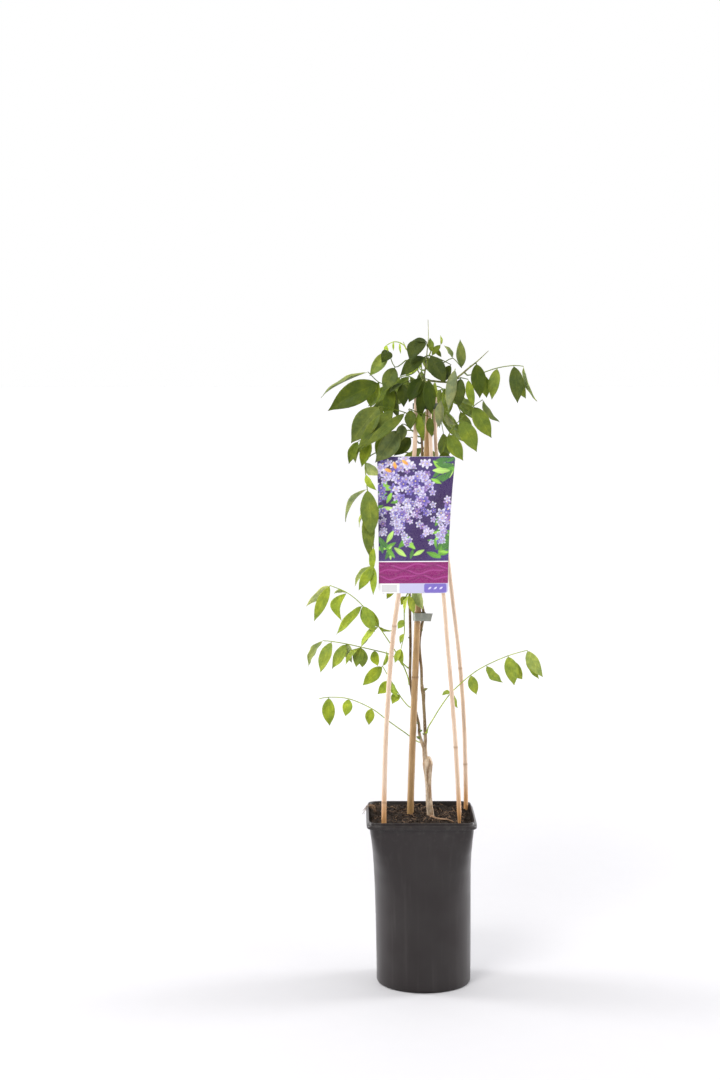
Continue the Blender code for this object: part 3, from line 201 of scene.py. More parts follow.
# Compound leaves. Each grows on a shoot at a height, and its stalk runs through the
# places. Its look is how grown it is, from 0 for yellow-green to 1 for dark green, where the
# yellow-green of the low leaves is also painted glow for light shining through them; then a
# factor on its colour that is painted light and shade, above 1 for a leaflet in the light and
# below 1 for one in shade; and last how far its colour is paled towards grey-green. A leaflet
# is (number of the place it grows from, tip, width, turn of its face about its midrib in
# degrees), and may go on with a sideways bow of the midrib, and then with a look of its own.
# At 0 degrees the upper face is seen from the front, and past 90 the pale underside is.
LEAVES = {
    "leaf_low_left": dict(
        on=("b", 306), look=(0.3, 0.92, 0),
        places=[(-5, 27, 303), (-13, 37, 307), (-22, 34, 314), (-32, 26, 321), (-47, 16, 332), (-66, 8, 346),
                (-94, 4, 358), (-119, 2, 360), (-131, 2, 358)],
        leaflets=[(5, (-69, 2, 325), 13, 10, 0, (0.3, 0.95, 0)), (6, (-98, -2, 336), 14, -10, 0, (0.08, 1, 0)),
                  (7, (-118, -4, 324), 18, 5)]),
    "leaf_low_right": dict(
        on=("a", 313), look=(0.3, 1, 0.12),
        places=[(5, 6, 322), (11, 4, 332), (20, 3, 347), (34, 3, 366), (58, 4, 388), (77, 4, 400), (104, 4, 412),
                (128, 4, 419)],
        leaflets=[(3, (22, -2, 363), 8, 50), (3, (41, -3, 346), 9, 40), (4, (65, 0, 363), 14, 10),
                  (5, (97, -2, 378), 17, 42), (6, (112, -6, 375), 19, 0), (6, (122, 16, 381), 17, 25),
                  (7, (147, -6, 385), 18, 12, 0, (0.35, 1.05, 0.35)),
                  (7, (142, 16, 381), 13, 35, 0, (0.4, 0.85, 0))]),
    "leaf_mid_left": dict(
        on=("b", 370), look=(0.3, 0.95, 0.05),
        places=[(-20, 36, 384), (-27, 32, 402), (-35, 24, 416), (-42, 16, 427), (-57, 4, 449), (-77, 0, 475),
                (-96, -2, 491), (-117, -2, 500)],
        leaflets=[(4, (-80, -4, 424), 14, 65), (4, (-38, 10, 443), 12, 60),
                  (5, (-111, -6, 440), 17, 55, 5, (0.42, 0.9, 0)), (5, (-62, -8, 442), 19, 0),
                  (5, (-56, 14, 447), 16, 10, 0, (0.22, 0.85, 0)), (6, (-103, -10, 456), 15, 5, -12, (0.2, 0.9, 0)),
                  (6, (-112, 14, 491), 13, 110, 0, (0.3, 1.1, 0.5)), (7, (-137, -6, 455), 15, 5),
                  (7, (-148, 12, 475), 16, 140, -5, (0.35, 1.15, 0.75))]),
    "leaf_row_left": dict(
        on=("b", 392), look=(0.36, 0.95, 0.14),
        places=[(-26, 38, 402), (-35, 34, 409), (-46, 28, 415), (-62, 24, 419), (-79, 22, 423), (-97, 20, 427),
                (-115, 18, 430), (-126, 18, 431)],
        leaflets=[(3, (-58, 20, 399), 13, 10, 0, (0.15, 0.85, 0)), (4, (-85, 12, 398), 15, 15, 0, (0.55, 0.9, 0.1)),
                  (4, (-77, 32, 397), 14, -10), (5, (-91, 32, 404), 14, 165, 0, (0.4, 0.95, 0.6)),
                  (5, (-115, 14, 396), 16, 15), (4, (-99, 6, 402), 12, 65), (6, (-130, 12, 391), 17, 20),
                  (7, (-146, 20, 399), 15, 52, 0, (0.65, 0.75, 0.3)), (4, (-66, 26, 450), 9, 60, 0, (0.4, 1, 0.6))]),
    "leaf_under_left": dict(
        on=("b", 342), look=(0.28, 0.95, 0),
        places=[(-19, 44, 348), (-26, 40, 356), (-31, 36, 363), (-41, 32, 380), (-52, 28, 399)],
        leaflets=[(2, (-40, 30, 352), 13, 20), (3, (-58, 26, 364), 15, 10), (3, (-33, 26, 359), 12, 50),
                  (4, (-77, 22, 375), 17, 10), (4, (-46, 34, 418), 10, 60)]),
    "leaf_hanging_small": dict(
        on=("b", 489), look=(0.2, 0.95, 0.1),
        places=[(-23, 15, 486), (-25, 12, 474), (-25, 11, 457), (-25, 11, 440), (-29, 11, 421)],
        leaflets=[(0, (-29, 8, 476), 10, 0), (2, (-33, 8, 446), 10, 15), (3, (-30, 8, 427), 8, 40),
                  (4, (-37, 8, 403), 9, 30), (4, (-28, 6, 399), 8, 35)]),
    "leaf_cane_front": dict(
        on=("b", 512), look=(0.15, 1.05, 0.15),
        places=[(-21, 14, 508), (-20, 8, 498), (-19, 4, 488)],
        leaflets=[(2, (-13, 2, 464), 10, 0), (2, (-25, 2, 466), 8, 55)]),
    "leaf_pale_back": dict(
        on=("a", 497), look=(0.4, 1, 0.5),
        places=[(-14, 7, 504), (-11, 4, 499)],
        leaflets=[(1, (-2, 1, 470), 15, 168)]),
    "leaf_below_label": dict(
        on=("b", 535), look=(0.25, 0.9, 0),
        places=[(-26, 14, 530), (-33, 6, 515), (-35, 1, 500)],
        leaflets=[(2, (-47, -2, 483), 10, 20), (1, (-46, 10, 505), 12, 40)]),
    "leaf_label_side": dict(
        on=("b", 655), look=(0.7, 0.95, 0.1),
        places=[(-14, 30, 663), (-40, 20, 667), (-62, 4, 664), (-73, -10, 653), (-73, -20, 638), (-71, -23, 620),
                (-68, -23, 600), (-66, -23, 578), (-63, -23, 548), (-63, -23, 524)],
        leaflets=[(3, (-58, -22, 636), 16, 160, 0, (0.4, 1, 0.55)),
                  (5, (-100, -20, 580), 15, 70, -4, (0.8, 0.95, 0.35)), (5, (-66, -27, 560), 25, 0),
                  (4, (-60, -30, 618), 10, 20, 0, (0.35, 0.9, 0)), (6, (-83, -16, 573), 13, 72, 0, (0.6, 1, 0.3)),
                  (6, (-68, -21, 534), 18, 4), (8, (-65, -25, 517), 10, 15, 0, (0.28, 0.85, 0)),
                  (9, (-82, -26, 494), 14, 10, 0, (0.5, 0.9, 0)), (9, (-88, -14, 499), 10, 50, -4, (0.6, 1, 0.35)),
                  (9, (-64, -30, 488), 10, 20, 0, (0.2, 0.95, 0))]),
    "leaf_big_left": dict(
        on=("b", 738), look=(0.9, 0.9, 0),
        places=[(-10, 24, 744), (-24, 16, 748), (-40, 8, 748), (-56, 2, 751), (-70, -2, 764)],
        leaflets=[(3, (-119, -14, 717), 32, 0), (4, (-130, -4, 736), 20, 74, 0, (0.85, 0.9, 0.3)),
                  (3, (-68, 12, 720), 19, 10, 0, (0.45, 0.8, 0)), (2, (-46, 2, 702), 17, 12),
                  (2, (-33, 14, 706), 15, 20)]),
    "leaf_broad_left": dict(
        on=("a", 702), look=(0.85, 0.9, 0.08),
        places=[(-12, 0, 707), (-24, -6, 714), (-38, -10, 718), (-56, -12, 722)],
        leaflets=[(3, (-91, -20, 677), 32, 0, 0, (0.85, 0.85, 0.15)), (2, (-83, -30, 670), 22, 5),
                  (1, (-76, -38, 672), 15, 15)]),
    "leaf_spray_left": dict(
        on=("b", 690), look=(0.8, 0.9, 0),
        places=[(-8, 32, 692), (-30, 30, 692), (-50, 24, 688), (-68, 16, 682), (-82, 12, 679)],
        leaflets=[(4, (-94, 8, 651), 13, 15), (4, (-87, 20, 652), 12, 40),
                  (3, (-78, 12, 647), 16, 5, 0, (0.25, 0.85, 0)), (3, (-86, 2, 660), 12, 60, 0, (0.85, 0.8, 0)),
                  (2, (-60, 22, 661), 14, 20)]),
    "leaf_grey_corner": dict(
        on=("a", 684), look=(0.88, 0.9, 0.25),
        places=[(-16, 11, 692), (-22, 4, 698), (-28, 0, 700), (-33, -4, 693)],
        leaflets=[(2, (-31, -6, 677), 15, 5), (3, (-61, -17, 653), 27, 0)]),
    "leaf_dark_inner": dict(
        on=("a", 676), look=(1, 0.7, 0),
        places=[(-12, 12, 682), (-17, 5, 684)],
        leaflets=[(1, (-38, 3, 661), 19, 10)]),
    "leaf_upper_left": dict(
        on=("b", 780), look=(0.85, 0.9, 0.1),
        places=[(-24, 8, 778), (-30, 5, 773), (-37, 2, 770), (-42, 0, 780), (-45, -2, 790)],
        leaflets=[(2, (-51, -6, 741), 21, 0), (4, (-68, -4, 759), 17, 0, 0, (0.68, 1.1, 0.15)),
                  (4, (-53, -14, 776), 16, 0, 0, (1, 0.75, 0))]),
    "shoot_tip_left": dict(
        on=("b", 792), look=(0.05, 1, 0),
        places=[(-26, 18, 797), (-31, 20, 800), (-39, 20, 801), (-47, 20, 797)],
        leaflets=[(1, (-30, 18, 786), 4, 10), (2, (-39, 18, 790), 4, 10), (3, (-50, 16, 789), 6, 30),
                  (3, (-45, 22, 788), 5, 30)]),
    "leaf_mid_crown": dict(
        on=("b", 752), look=(0.95, 0.75, 0),
        places=[(-12, 8, 754), (-20, 4, 753), (-28, 1, 750)],
        leaflets=[(2, (-26, -3, 721), 16, 5), (2, (-45, -4, 738), 11, 55)]),
    "leaf_top": dict(
        on=("a", 796), look=(0.98, 0.72, 0.06),
        places=[(2, -6, 801)],
        leaflets=[(0, (-18, -17, 776), 21, 10, -7), (0, (-17, -2, 802.5), 10, 50, 0, (0.95, 0.7, 0.05))]),
    "leaf_top_dark": dict(
        on=("a", 776), look=(1, 0.72, 0.05),
        places=[(0, -6, 783), (6, -9, 784), (18, -10, 780), (32, -8, 773)],
        leaflets=[(0, (-31, -9, 759), 18, 10), (1, (25, -20, 751), 23, 0),
                  (3, (19, 4, 751), 14, 10, 0, (0.95, 0.75, 0))]),
    "shoot_tip_top": dict(
        on=("a", 784), look=(0.55, 0.95, 0.1),
        places=[(7, 8, 789), (12, 7, 795), (19, 6, 797)],
        leaflets=[(0, (6, 8, 806), 9, 15), (2, (8, 2, 784), 9, 20, 0, (0.85, 0.85, 0)), (2, (19, 6, 809), 5, 50),
                  (1, (20, 12, 782), 7, 30, 0, (0.7, 0.85, 0))]),
    "leaf_top_right": dict(
        on=("a", 768), look=(0.75, 0.85, 0.25),
        places=[(10, 12, 774), (24, 10, 776), (34, 8, 781), (45, 7, 769)],
        leaflets=[(2, (24, 8, 797), 9, 50), (3, (43.5, 4, 804), 14, 10, 2)]),
    "leaf_far_right": dict(
        on=("c", 764), look=(0.72, 0.95, 0.05),
        places=[(52, 7, 760), (70, 9, 763), (89, 7, 769), (109, 5, 772), (121, 5, 771)],
        leaflets=[(1, (76, 15, 732), 15, 5, 0, (0.5, 0.8, 0)), (2, (82, 2, 730), 16, 8, 0, (0.62, 0.95, 0.1)),
                  (3, (114, 0, 726), 20, 5, 0, (0.92, 0.9, 0.08)), (3, (124, 18, 730), 16, 20),
                  (4, (136, 6, 727), 15, 72, 0, (0.7, 1, 0.35))]),
    "leaf_right_dark": dict(
        on=("c", 775), look=(0.95, 0.85, 0),
        places=[(63, -6, 775)],
        leaflets=[(0, (68, -12, 732), 21, 0)]),
    "leaf_right_pair": dict(
        on=("c", 757), look=(0.92, 0.8, 0.05),
        places=[(44, -8, 757), (53, -14, 755)],
        leaflets=[(0, (41, -13, 720), 18, 8), (1, (60, -17, 721), 12, 15, 0, (0.35, 0.75, 0))]),
    "leaf_right_ladder": dict(
        on=("b", 638), look=(0.7, 0.95, 0.05),
        places=[(11, 25, 647), (20, 17, 655), (22, 7, 666), (30, 0, 688), (43, -4, 705), (60, -4, 722),
                (71, -2, 730)],
        leaflets=[(2, (29, 1, 645), 17, 0, 0, (0.9, 0.8, 0)), (3, (47, -6, 655), 20, 5), (4, (64, -10, 666), 23, 0),
                  (5, (82, -10, 683), 22, 5), (6, (91, -4, 701), 17, 62, 0, (0.75, 1, 0.3)),
                  (5, (42, 8, 730), 12, 55)]),
    "leaf_grey_right": dict(
        on=("c", 754), look=(0.7, 0.75, 0.75),
        places=[(36, -14, 759), (37, -18, 768)],
        leaflets=[(1, (28, -20, 717), 16, 165)]),
    "leaf_grey_cane": dict(
        on=("c", 752), look=(0.75, 0.7, 0.65),
        places=[(21, -14, 744), (21, -20, 730), (24, -20, 720), (26, -17, 713)],
        leaflets=[(1, (17, -24, 695), 14, 165), (3, (38, -15, 698), 10, 55), (3, (31, -22, 697), 9, 55)]),
    "leaf_heart": dict(
        on=("a", 760), look=(0.98, 0.75, 0),
        places=[(-5, -5, 757), (-1, -11, 756), (4, -14, 755), (12, -14, 752)],
        leaflets=[(0, (-20, -11, 727), 20, 5), (1, (-7, -9, 704), 15, 10), (2, (8, -17, 712), 18, 0),
                  (3, (14, -22, 734), 9, 35, 0, (0.5, 0.8, 0.1))]),
    "leaf_low_crown": dict(
        on=("a", 706), look=(0.92, 0.75, 0.05),
        places=[(-16, 10, 712), (-20, 0, 718), (-17, -9, 718), (-8, -12, 714), (6, -11, 709)],
        leaflets=[(2, (-18, -13, 693), 16, 10), (4, (9, -14, 684), 11, 0),
                  (3, (-3, -11, 681), 12, 15, 0, (0.7, 0.85, 0))]),
    "shoot_tip_pale": dict(
        on=("a", 766), look=(0.1, 1.1, 0.1),
        places=[(-7, 4, 768)],
        leaflets=[(0, (-23, 4, 762), 8, 30), (0, (-8, 2, 781), 6, 30)]),
}

# Leaves on the hidden back of the plant, all on shoot B: height, heading in degrees (90
# is straight back), reach, rise at the middle, fall at the end, pairs of leaflets and
# length of a leaflet.
BACK_LEAVES = (
    (704, 78, 96, 16, 26, 3, 44), (735, 128, 88, 22, 14, 3, 40), (722, 60, 84, 20, 18, 3, 42),
    (662, 100, 84, 10, 30, 3, 40), (612, 86, 68, 12, 26, 3, 36), (566, 106, 66, 14, 16, 3, 34),
    (758, 88, 62, 20, 2, 2, 34), (632, 124, 62, 12, 20, 2, 30),
)
BACK_LOOK = (0.8, 0.95, 0.05)

# The plate that each leaflet is bent from, and its (share of length, share of width).
BLADE_COLUMNS = 8
BLADE_ROWS = 14
BLADE_THICK = 0.24 * MM
BLADE_PROFILE = ((0.0, 0.05), (0.045, 0.055), (0.065, 0.22), (0.11, 0.41), (0.18, 0.62), (0.28, 0.82), (0.38, 0.93),
                 (0.47, 0.96), (0.57, 0.92), (0.68, 0.79), (0.78, 0.58), (0.86, 0.37), (0.92, 0.19), (0.965, 0.08),
                 (1.0, 0.015))
STALK_BASE = 1.15 * MM
STALK_RADIUS = 0.8 * MM
STALK_END = 0.5 * MM
STALK_KNEE = 2.5 * MM
FINE_BUMP = 0.2 * MM


# The user's settings.

def length(name, description, default):
    return bpy.props.FloatProperty(name=name, description=description, default=default, unit="LENGTH", precision=5)


def watts(name, description, default):
    return bpy.props.FloatProperty(name=name, description=description, default=default, unit="POWER")


def share(name, description, default, top=1.0):
    return bpy.props.FloatProperty(name=name, description=description, default=default, min=0.0, max=top)


def tally(name, description, default):
    return bpy.props.IntProperty(name=name, description=description, default=default, min=0)


def colour(name, description, default):
    return bpy.props.FloatVectorProperty(name=name, description=description, default=default, subtype="COLOR",
                                         size=3, min=0.0, max=1.0)


class PotSettings(bpy.types.PropertyGroup):
    plastic: colour("Plastic", "Colour of the pot", (0.0205, 0.0158, 0.0160))
    scuff: colour("Scuffs", "Colour of the dust and scuffs on the pot", (0.085, 0.078, 0.074))
    bevel: length("Edge radius", "Radius of the rim's edges", 0.0006)
    soil: colour("Soil", "Colour of the potting soil", (0.0088, 0.0055, 0.0036))
    soil_light: colour("Dry soil", "Colour of the soil's dry crumbs", (0.054, 0.031, 0.018))
    fibre: colour("Fibre", "Colour of the fibres in the soil", (0.31, 0.185, 0.105))
    crumbs: tally("Crumbs", "Crumbs that lie on the soil", 760)
    fibres: tally("Fibres", "Fibres that lie on the soil", 170)
    roughness: length("Unevenness", "Height of the soil's unevenness", 0.0030)


class PlantSettings(bpy.types.PropertyGroup):
    dark_leaf: colour("Grown leaf", "Upper face of a grown leaf", (0.038, 0.066, 0.0022))
    # The young colours of the face and the underside are also painted glow: their yellow-green stands for light
    # shining through the low leaves.
    light_leaf: colour("Young leaf", "Upper face of a young leaf", (0.345, 0.485, 0.048))
    dark_under: colour("Grown underside", "Underside of a grown leaf", (0.13, 0.18, 0.055))
    light_under: colour("Young underside", "Underside of a young leaf", (0.33, 0.44, 0.09))
    stalk: colour("Stalk", "Leaf stalks", (0.22, 0.27, 0.05))
    old_bark: colour("Trunk bark", "Bark of the trunk", (0.55, 0.43, 0.31))
    young_bark: colour("Shoot bark", "Bark of the climbing shoots", (0.20, 0.14, 0.062))
    green_bark: colour("Tip bark", "Bark of the green shoot tips", (0.24, 0.27, 0.07))
    main_cane: colour("Main cane", "The thick cane", (0.46, 0.29, 0.125))
    thin_cane: colour("Thin canes", "The three thin canes", (0.68, 0.52, 0.40))
    arch: share("Arch", "How far a leaflet arches, as a share of its length", 0.05)
    cup: share("Cup", "How far a leaflet's edges rise, as a share of its width", 0.21)


class LabelSettings(bpy.types.PropertyGroup):
    cell: length("Print cell", "Spacing of the printed picture's points", 0.00056)
    night: colour("Picture ground", "Dark ground behind the blossoms", (0.042, 0.016, 0.105))
    band: colour("Band", "The band under the picture", (0.27, 0.012, 0.155))
    panel: colour("Panel", "The rounded panel at the foot", (0.20, 0.15, 0.54))
    tape: colour("Tape", "The tape that ties the vine to its cane", (0.20, 0.215, 0.185))


class StageSettings(bpy.types.PropertyGroup):
    front: share("Front light", "Strength of the even light from the camera's side", 0.16, 10.0)
    back: share("Back light", "Strength of the even light from behind and the sides", 1.0, 10.0)
    key: watts("Key light", "Power of the main soft light", 58.0)
    fill: watts("Fill light", "Power of the second light", 9.0)
    side: watts("Side lights", "Power of each tall light beside the plant", 34.0)


def settings(group):
    return getattr(bpy.context.scene, "wisteria_" + group)


# Routes through the plant.

def seen(across, depth, height):
    """The point at this depth that shows at (across, height) from the front."""
    ratio = (EYE_DISTANCE + depth) / EYE_DISTANCE
    x = EYE_ACROSS + (across - EYE_ACROSS) * ratio
    z = EYE_HEIGHT + (height - EYE_HEIGHT) * ratio
    return Vector((x, depth, z)) * MM


def seen_rows(table):
    """Rows of (x, y, z, radius) in metres from a table as the vine's."""
    return [Vector((*seen(*row[:3]), row[3] * MM)) for row in table]


def heading_at(angle):
    return Vector((math.cos(angle), math.sin(angle), 0))


def part_way(value, low, high):
    """How far value has come from low to high, held between 0 and 1."""
    return max(0.0, min(1.0, (value - low) / (high - low)))


def hump(value, at, spread):
    """A smooth hump, 1 high where value passes at."""
    return math.exp(-(((value - at) / spread) ** 2))


def smooth(points, step):
    """A Catmull-Rom curve through the points, which may carry a radius as a 4th number."""
    rows = [Vector(p) for p in points]
    rows = [2 * rows[0] - rows[1]] + rows + [2 * rows[-1] - rows[-2]]
    found = [rows[1].copy()]
    for a, b, c, d in zip(rows, rows[1:], rows[2:], rows[3:]):
        pieces = max(1, round((c - b).length / step))
        for i in range(1, pieces + 1):
            t = i / pieces
            bend = (2 * a - 5 * b + 4 * c - d) * t * t + (3 * b - a - 3 * c + d) * t**3
            found.append(b + (c - a) * t / 2 + bend / 2)
    return found


def place_at(route, height):
    """(point, tangent, radius) where a route of (x, y, z, radius) rows passes a height."""
    for low, high in zip(route, route[1:]):
        if low.z <= height <= high.z:
            row = low.lerp(high, (height - low.z) / (high.z - low.z))
            return row.to_3d(), (high - low).to_3d().normalized(), row.w
    raise ValueError(f"no place at height {height}")


def cane_route(name, step=CANE_STEP):
    cane = CANES[name]
    foot, head = cane["radii"]
    rows = smooth([seen(*p) for p in cane["places"]], step)
    low, high = rows[0].z, rows[-1].z
    return [Vector((*row, (foot + (head - foot) * (row.z - low) / (high - low)) * MM)) for row in rows]


def vine_routes(step):
    main_cane = cane_route("cane_main")
    twine = []
    foot, top = SHOOT_A_TWINE[0][0], SHOOT_A_TWINE[-1][0]
    low_radius, top_radius = SHOOT_A_RADII
    for height, angle in SHOOT_A_TWINE:
        centre, _, cane_radius = place_at(main_cane, height * MM)
        radius = (low_radius + (top_radius - low_radius) * (height - foot) / (top - foot)) * MM
        reach = cane_radius * CANE_JOINT_SWELL + radius + SHOOT_A_GAP
        twine.append(Vector((*(centre + heading_at(math.radians(angle)) * reach), radius)))
    return {
        "trunk": smooth(seen_rows(TRUNK), step),
        "scion": smooth(seen_rows(SCION), step),
        "a": smooth(seen_rows(SHOOT_A_FOOT) + twine + seen_rows(SHOOT_A_TIP), step),
        "b": smooth(seen_rows(SHOOT_B), step),
        "c": smooth(seen_rows(SHOOT_C), step),
    }


def pot_body(height):
    """Half the pot's outer width and its squareness at a height, below the collar."""
    for (z1, half1, power1), (z2, half2, power2) in zip(POT_BODY, POT_BODY[1:]):
        if z1 <= height <= z2:
            ratio = (height - z1) / (z2 - z1)
            return half1 + (half2 - half1) * ratio, power1 + (power2 - power1) * ratio
    raise ValueError(f"no pot wall at height {height}")


def reach_at(angle, half, power):
    """How far out the pot's section reaches at an angle."""
    c, s = abs(math.cos(angle)), abs(math.sin(angle))
    return half / (c**power + s**power) ** (1 / power)


def lean_at(z):
    """How far the pot and its soil stand aside at a height."""
    return POT_LEAN * (z / POT_HEIGHT) ** 2


def label_front(x, z, cane):
    """How far back the label's rear face lies at (x, z): it leans on the left cane."""
    at, _, radius = place_at(cane, z)
    aside = x - at.x
    return at.y - radius * CANE_JOINT_SWELL - GAP + aside * LABEL_TURN + LABEL_BOW * aside * aside


# Modelling.

def clear_selection():
    if bpy.context.mode != "OBJECT":
        bpy.ops.object.mode_set(mode="OBJECT")
    bpy.ops.object.select_all(action="DESELECT")


def pick(*objects):
    """Selects these objects alone, with the first one active."""
    clear_selection()
    for obj in objects:
        obj.select_set(True)
    bpy.context.view_layer.objects.active = objects[0]


def edit(obj, kind="EDGE"):
    """Opens an object in edit mode, all of it selected."""
    pick(obj)
    bpy.ops.object.mode_set(mode="EDIT")
    bpy.ops.mesh.select_mode(type=kind)
    bpy.ops.mesh.select_all(action="SELECT")


def add_grid(columns, rows):
    """A flat grid, with a UV map, over -1 to 1 each way."""
    clear_selection()
    bpy.ops.mesh.primitive_grid_add(x_subdivisions=columns, y_subdivisions=rows, size=2)
    return bpy.context.object


def add_object(work, name):
    """Puts a bmesh in the scene as a new object."""
    mesh = bpy.data.meshes.new(name)
    work.to_mesh(mesh)
    work.free()
    obj = bpy.data.objects.new(name, mesh)
    bpy.context.collection.objects.link(obj)
    return obj


def drop_object(obj):
    mesh = obj.data
    bpy.data.objects.remove(obj)
    bpy.data.meshes.remove(mesh)


def apply_modifier(obj, kind, **values):
    modifier = obj.modifiers.new(kind.lower(), kind)
    for key, value in values.items():
        setattr(modifier, key, value)
    bpy.ops.object.modifier_apply(modifier=modifier.name)


def tidy_faces(obj, fill=True):
    """Merges doubles, closes open ends and points the faces outwards."""
    edit(obj)
    bpy.ops.mesh.remove_doubles(threshold=1e-6)
    if fill:
        bpy.ops.mesh.fill_holes(sides=0)
    bpy.ops.mesh.select_all(action="SELECT")
    bpy.ops.mesh.normals_make_consistent(inside=False)
    bpy.ops.object.mode_set(mode="OBJECT")


def smooth_faces(obj, degrees):
    """Smooth faces, with sharp edges where they turn by more than this."""
    obj.data.shade_smooth()
    obj.data.set_sharp_from_angle(angle=math.radians(degrees))


def roll_tube(route, sides, shape=None):
    """A closed tube: a grid rolled along rows of (x, y, z, radius).

    Its UV runs once round, and along in tenths of a metre. shape(angle, row) may return
    a factor on the radius there.
    """
    last = len(route) - 1
    tube = add_grid(sides, last)
    mesh = tube.data
    points = [row.to_3d() for row in route]
    run = [0.0]
    for a, b in zip(points, points[1:]):
        run.append(run[-1] + (b - a).length)
    side = None
    frames = []
    for i, point in enumerate(points):
        tangent = (points[min(i + 1, last)] - points[max(i - 1, 0)]).normalized()
        if side is None:
            side = tangent.orthogonal().normalized() if abs(tangent.z) < 0.7 else Vector((1, 0, 0))
        side = (side - tangent * side.dot(tangent)).normalized()
        frames.append((point, side.copy(), tangent.cross(side)))
    uv = mesh.uv_layers.active.data
    for loop in mesh.loops:
        x, y = mesh.vertices[loop.vertex_index].co.xy
        uv[loop.index].uv = ((x + 1) / 2, run[round((y + 1) / 2 * last)] * 10)
    for vert in mesh.vertices:
        i = round((vert.co.y + 1) / 2 * last)
        angle = math.pi * (vert.co.x + 1)
        point, across, out = frames[i]
        factor = shape(angle, i) if shape else 1.0
        vert.co = point + (across * math.cos(angle) + out * math.sin(angle)) * route[i].w * factor
    tidy_faces(tube)
    mesh.shade_smooth()
    return tube


def join(objects):
    pick(*objects)
    bpy.ops.object.join()
    return bpy.context.object


def mark(mesh, name, values):
    """Keeps a number for each point, for a material to read."""
    layer = mesh.attributes.new(name, "FLOAT", "POINT")
    layer.data.foreach_set("value", values)


def coat(obj, *materials):
    """Gives an object these materials in place of its own."""
    obj.data.materials.clear()
    for material in materials:
        obj.data.materials.append(material)


def finish_piece(obj, name, slot, nodes, *materials):
    """Names a finished piece, gives it its materials, and ties it to the frame."""
    obj.name = name
    obj.data.name = name
    coat(obj, *materials)
    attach(obj, "root")
    if nodes:
        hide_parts(*nodes)


# Materials.

class Nodes:
    """Short ways to add nodes to one material, node group or world."""

    def __init__(self, tree):
        self.tree = tree

    def plug(self, socket, value):
        """Links a socket, or sets its value."""
        if isinstance(value, bpy.types.NodeSocket):
            self.tree.links.new(value, socket)
        elif socket.type == "RGBA":
            socket.default_value = (*value[:3], 1.0)
        else:
            socket.default_value = value

    def add(self, kind, settings=None, **inputs):
        made = self.tree.nodes.new("ShaderNode" + kind)
        for key, value in (settings or {}).items():
            setattr(made, key, value)
        for key, value in inputs.items():
            self.plug(made.inputs[key.replace("_", " ")], value)
        return made

    def sums(self, operation, *values):
        made = self.add("Math", dict(operation=operation))
        for socket, value in zip(made.inputs, values):
            self.plug(socket, value)
        return made.outputs[0]

    def times(self, a, b):
        return self.sums("MULTIPLY", a, b)

    def plus(self, a, b):
        return self.sums("ADD", a, b)

    def less(self, a, b):
        return self.sums("SUBTRACT", a, b)

    def ramp(self, value, low, high, start=0.0, end=1.0):
        """Maps value from low..high to start..end, smoothly and clamped."""
        made = self.add("MapRange", dict(interpolation_type="SMOOTHSTEP", clamp=True))
        for socket, given in zip(made.inputs, (value, low, high, start, end)):
            self.plug(socket, given)
        return made.outputs[0]

    def blend(self, mask, a, b, mode="MIX"):
        made = self.add("Mix", dict(data_type="RGBA", blend_type=mode))
        for number, value in ((0, mask), (6, a), (7, b)):
            self.plug(made.inputs[number], value)
        return made.outputs[2]

    def tint(self, mask, base, factors):
        """Multiplies a colour by factors where the mask is up."""
        return self.blend(mask, base, self.blend(1.0, base, factors, "MULTIPLY"))

    def place(self, kind="Object"):
        return self.add("TexCoord").outputs[kind]

    def height(self):
        return self.split(self.place())[2]

    def split(self, vector):
        return self.add("SeparateXYZ", Vector=vector).outputs

    def grey(self, value):
        return self.add("CombineColor", Red=value, Green=value, Blue=value).outputs[0]

    def marked(self, name, output="Fac"):
        """What mark() kept under this name."""
        return self.add("Attribute", dict(attribute_name=name)).outputs[output]

    def leaf_tint(self):
        """A leaflet's growth with its painted glow, its painted light and shade, and how pale it is."""
        return self.add("SeparateColor", Color=self.marked("tint", "Color")).outputs

    def stretch(self, place, factors):
        return self.add("Mapping", Vector=place, Scale=factors).outputs[0]

    def noise(self, scale, detail=3.0, roughness=0.5, place=None):
        """Noise at one scale, or stretched by three."""
        if place is None:
            place = self.place()
        if isinstance(scale, tuple):
            place, scale = self.stretch(place, scale), 1.0
        return self.add("TexNoise", Vector=place, Scale=scale, Detail=detail, Roughness=roughness).outputs["Fac"]

    def cells(self, feature, place, factors, scale):
        return self.add("TexVoronoi", dict(feature=feature), Vector=self.stretch(place, factors), Scale=scale).outputs

    def speckle(self, base, second, cloud_scale, grain_scale, amount):
        """The speckle group's outputs, at a material's own values."""
        return self.add("Group", dict(node_tree=speckle_group()), Vector=self.place(), Base=base, Second=second,
                        Cloud_Scale=cloud_scale, Grain_Scale=grain_scale, Amount=amount).outputs

    def dress(self, base, height, strength, distance, roughness=None):
        """Gives the shader its colour, its bumps and, where it varies, its roughness."""
        shader = self.tree.nodes["Principled BSDF"].inputs
        self.plug(shader["Base Color"], base)
        if roughness is not None:
            self.plug(shader["Roughness"], roughness)
        bumps = self.add("Bump", Height=height, Strength=strength, Distance=distance)
        self.plug(shader["Normal"], bumps.outputs[0])


def new_group(name, inputs, outputs):
    """An empty shader node group, its inputs' sockets by name, and its output node's."""
    tree = bpy.data.node_groups.new(name, "ShaderNodeTree")
    for title, kind, default in inputs:
        socket = tree.interface.new_socket(name=title, in_out="INPUT", socket_type="NodeSocket" + kind)
        if default is not None:
            socket.default_value = default
    for title, kind in outputs:
        tree.interface.new_socket(name=title, in_out="OUTPUT", socket_type="NodeSocket" + kind)
    return Nodes(tree), tree.nodes.new("NodeGroupInput").outputs, tree.nodes.new("NodeGroupOutput").inputs


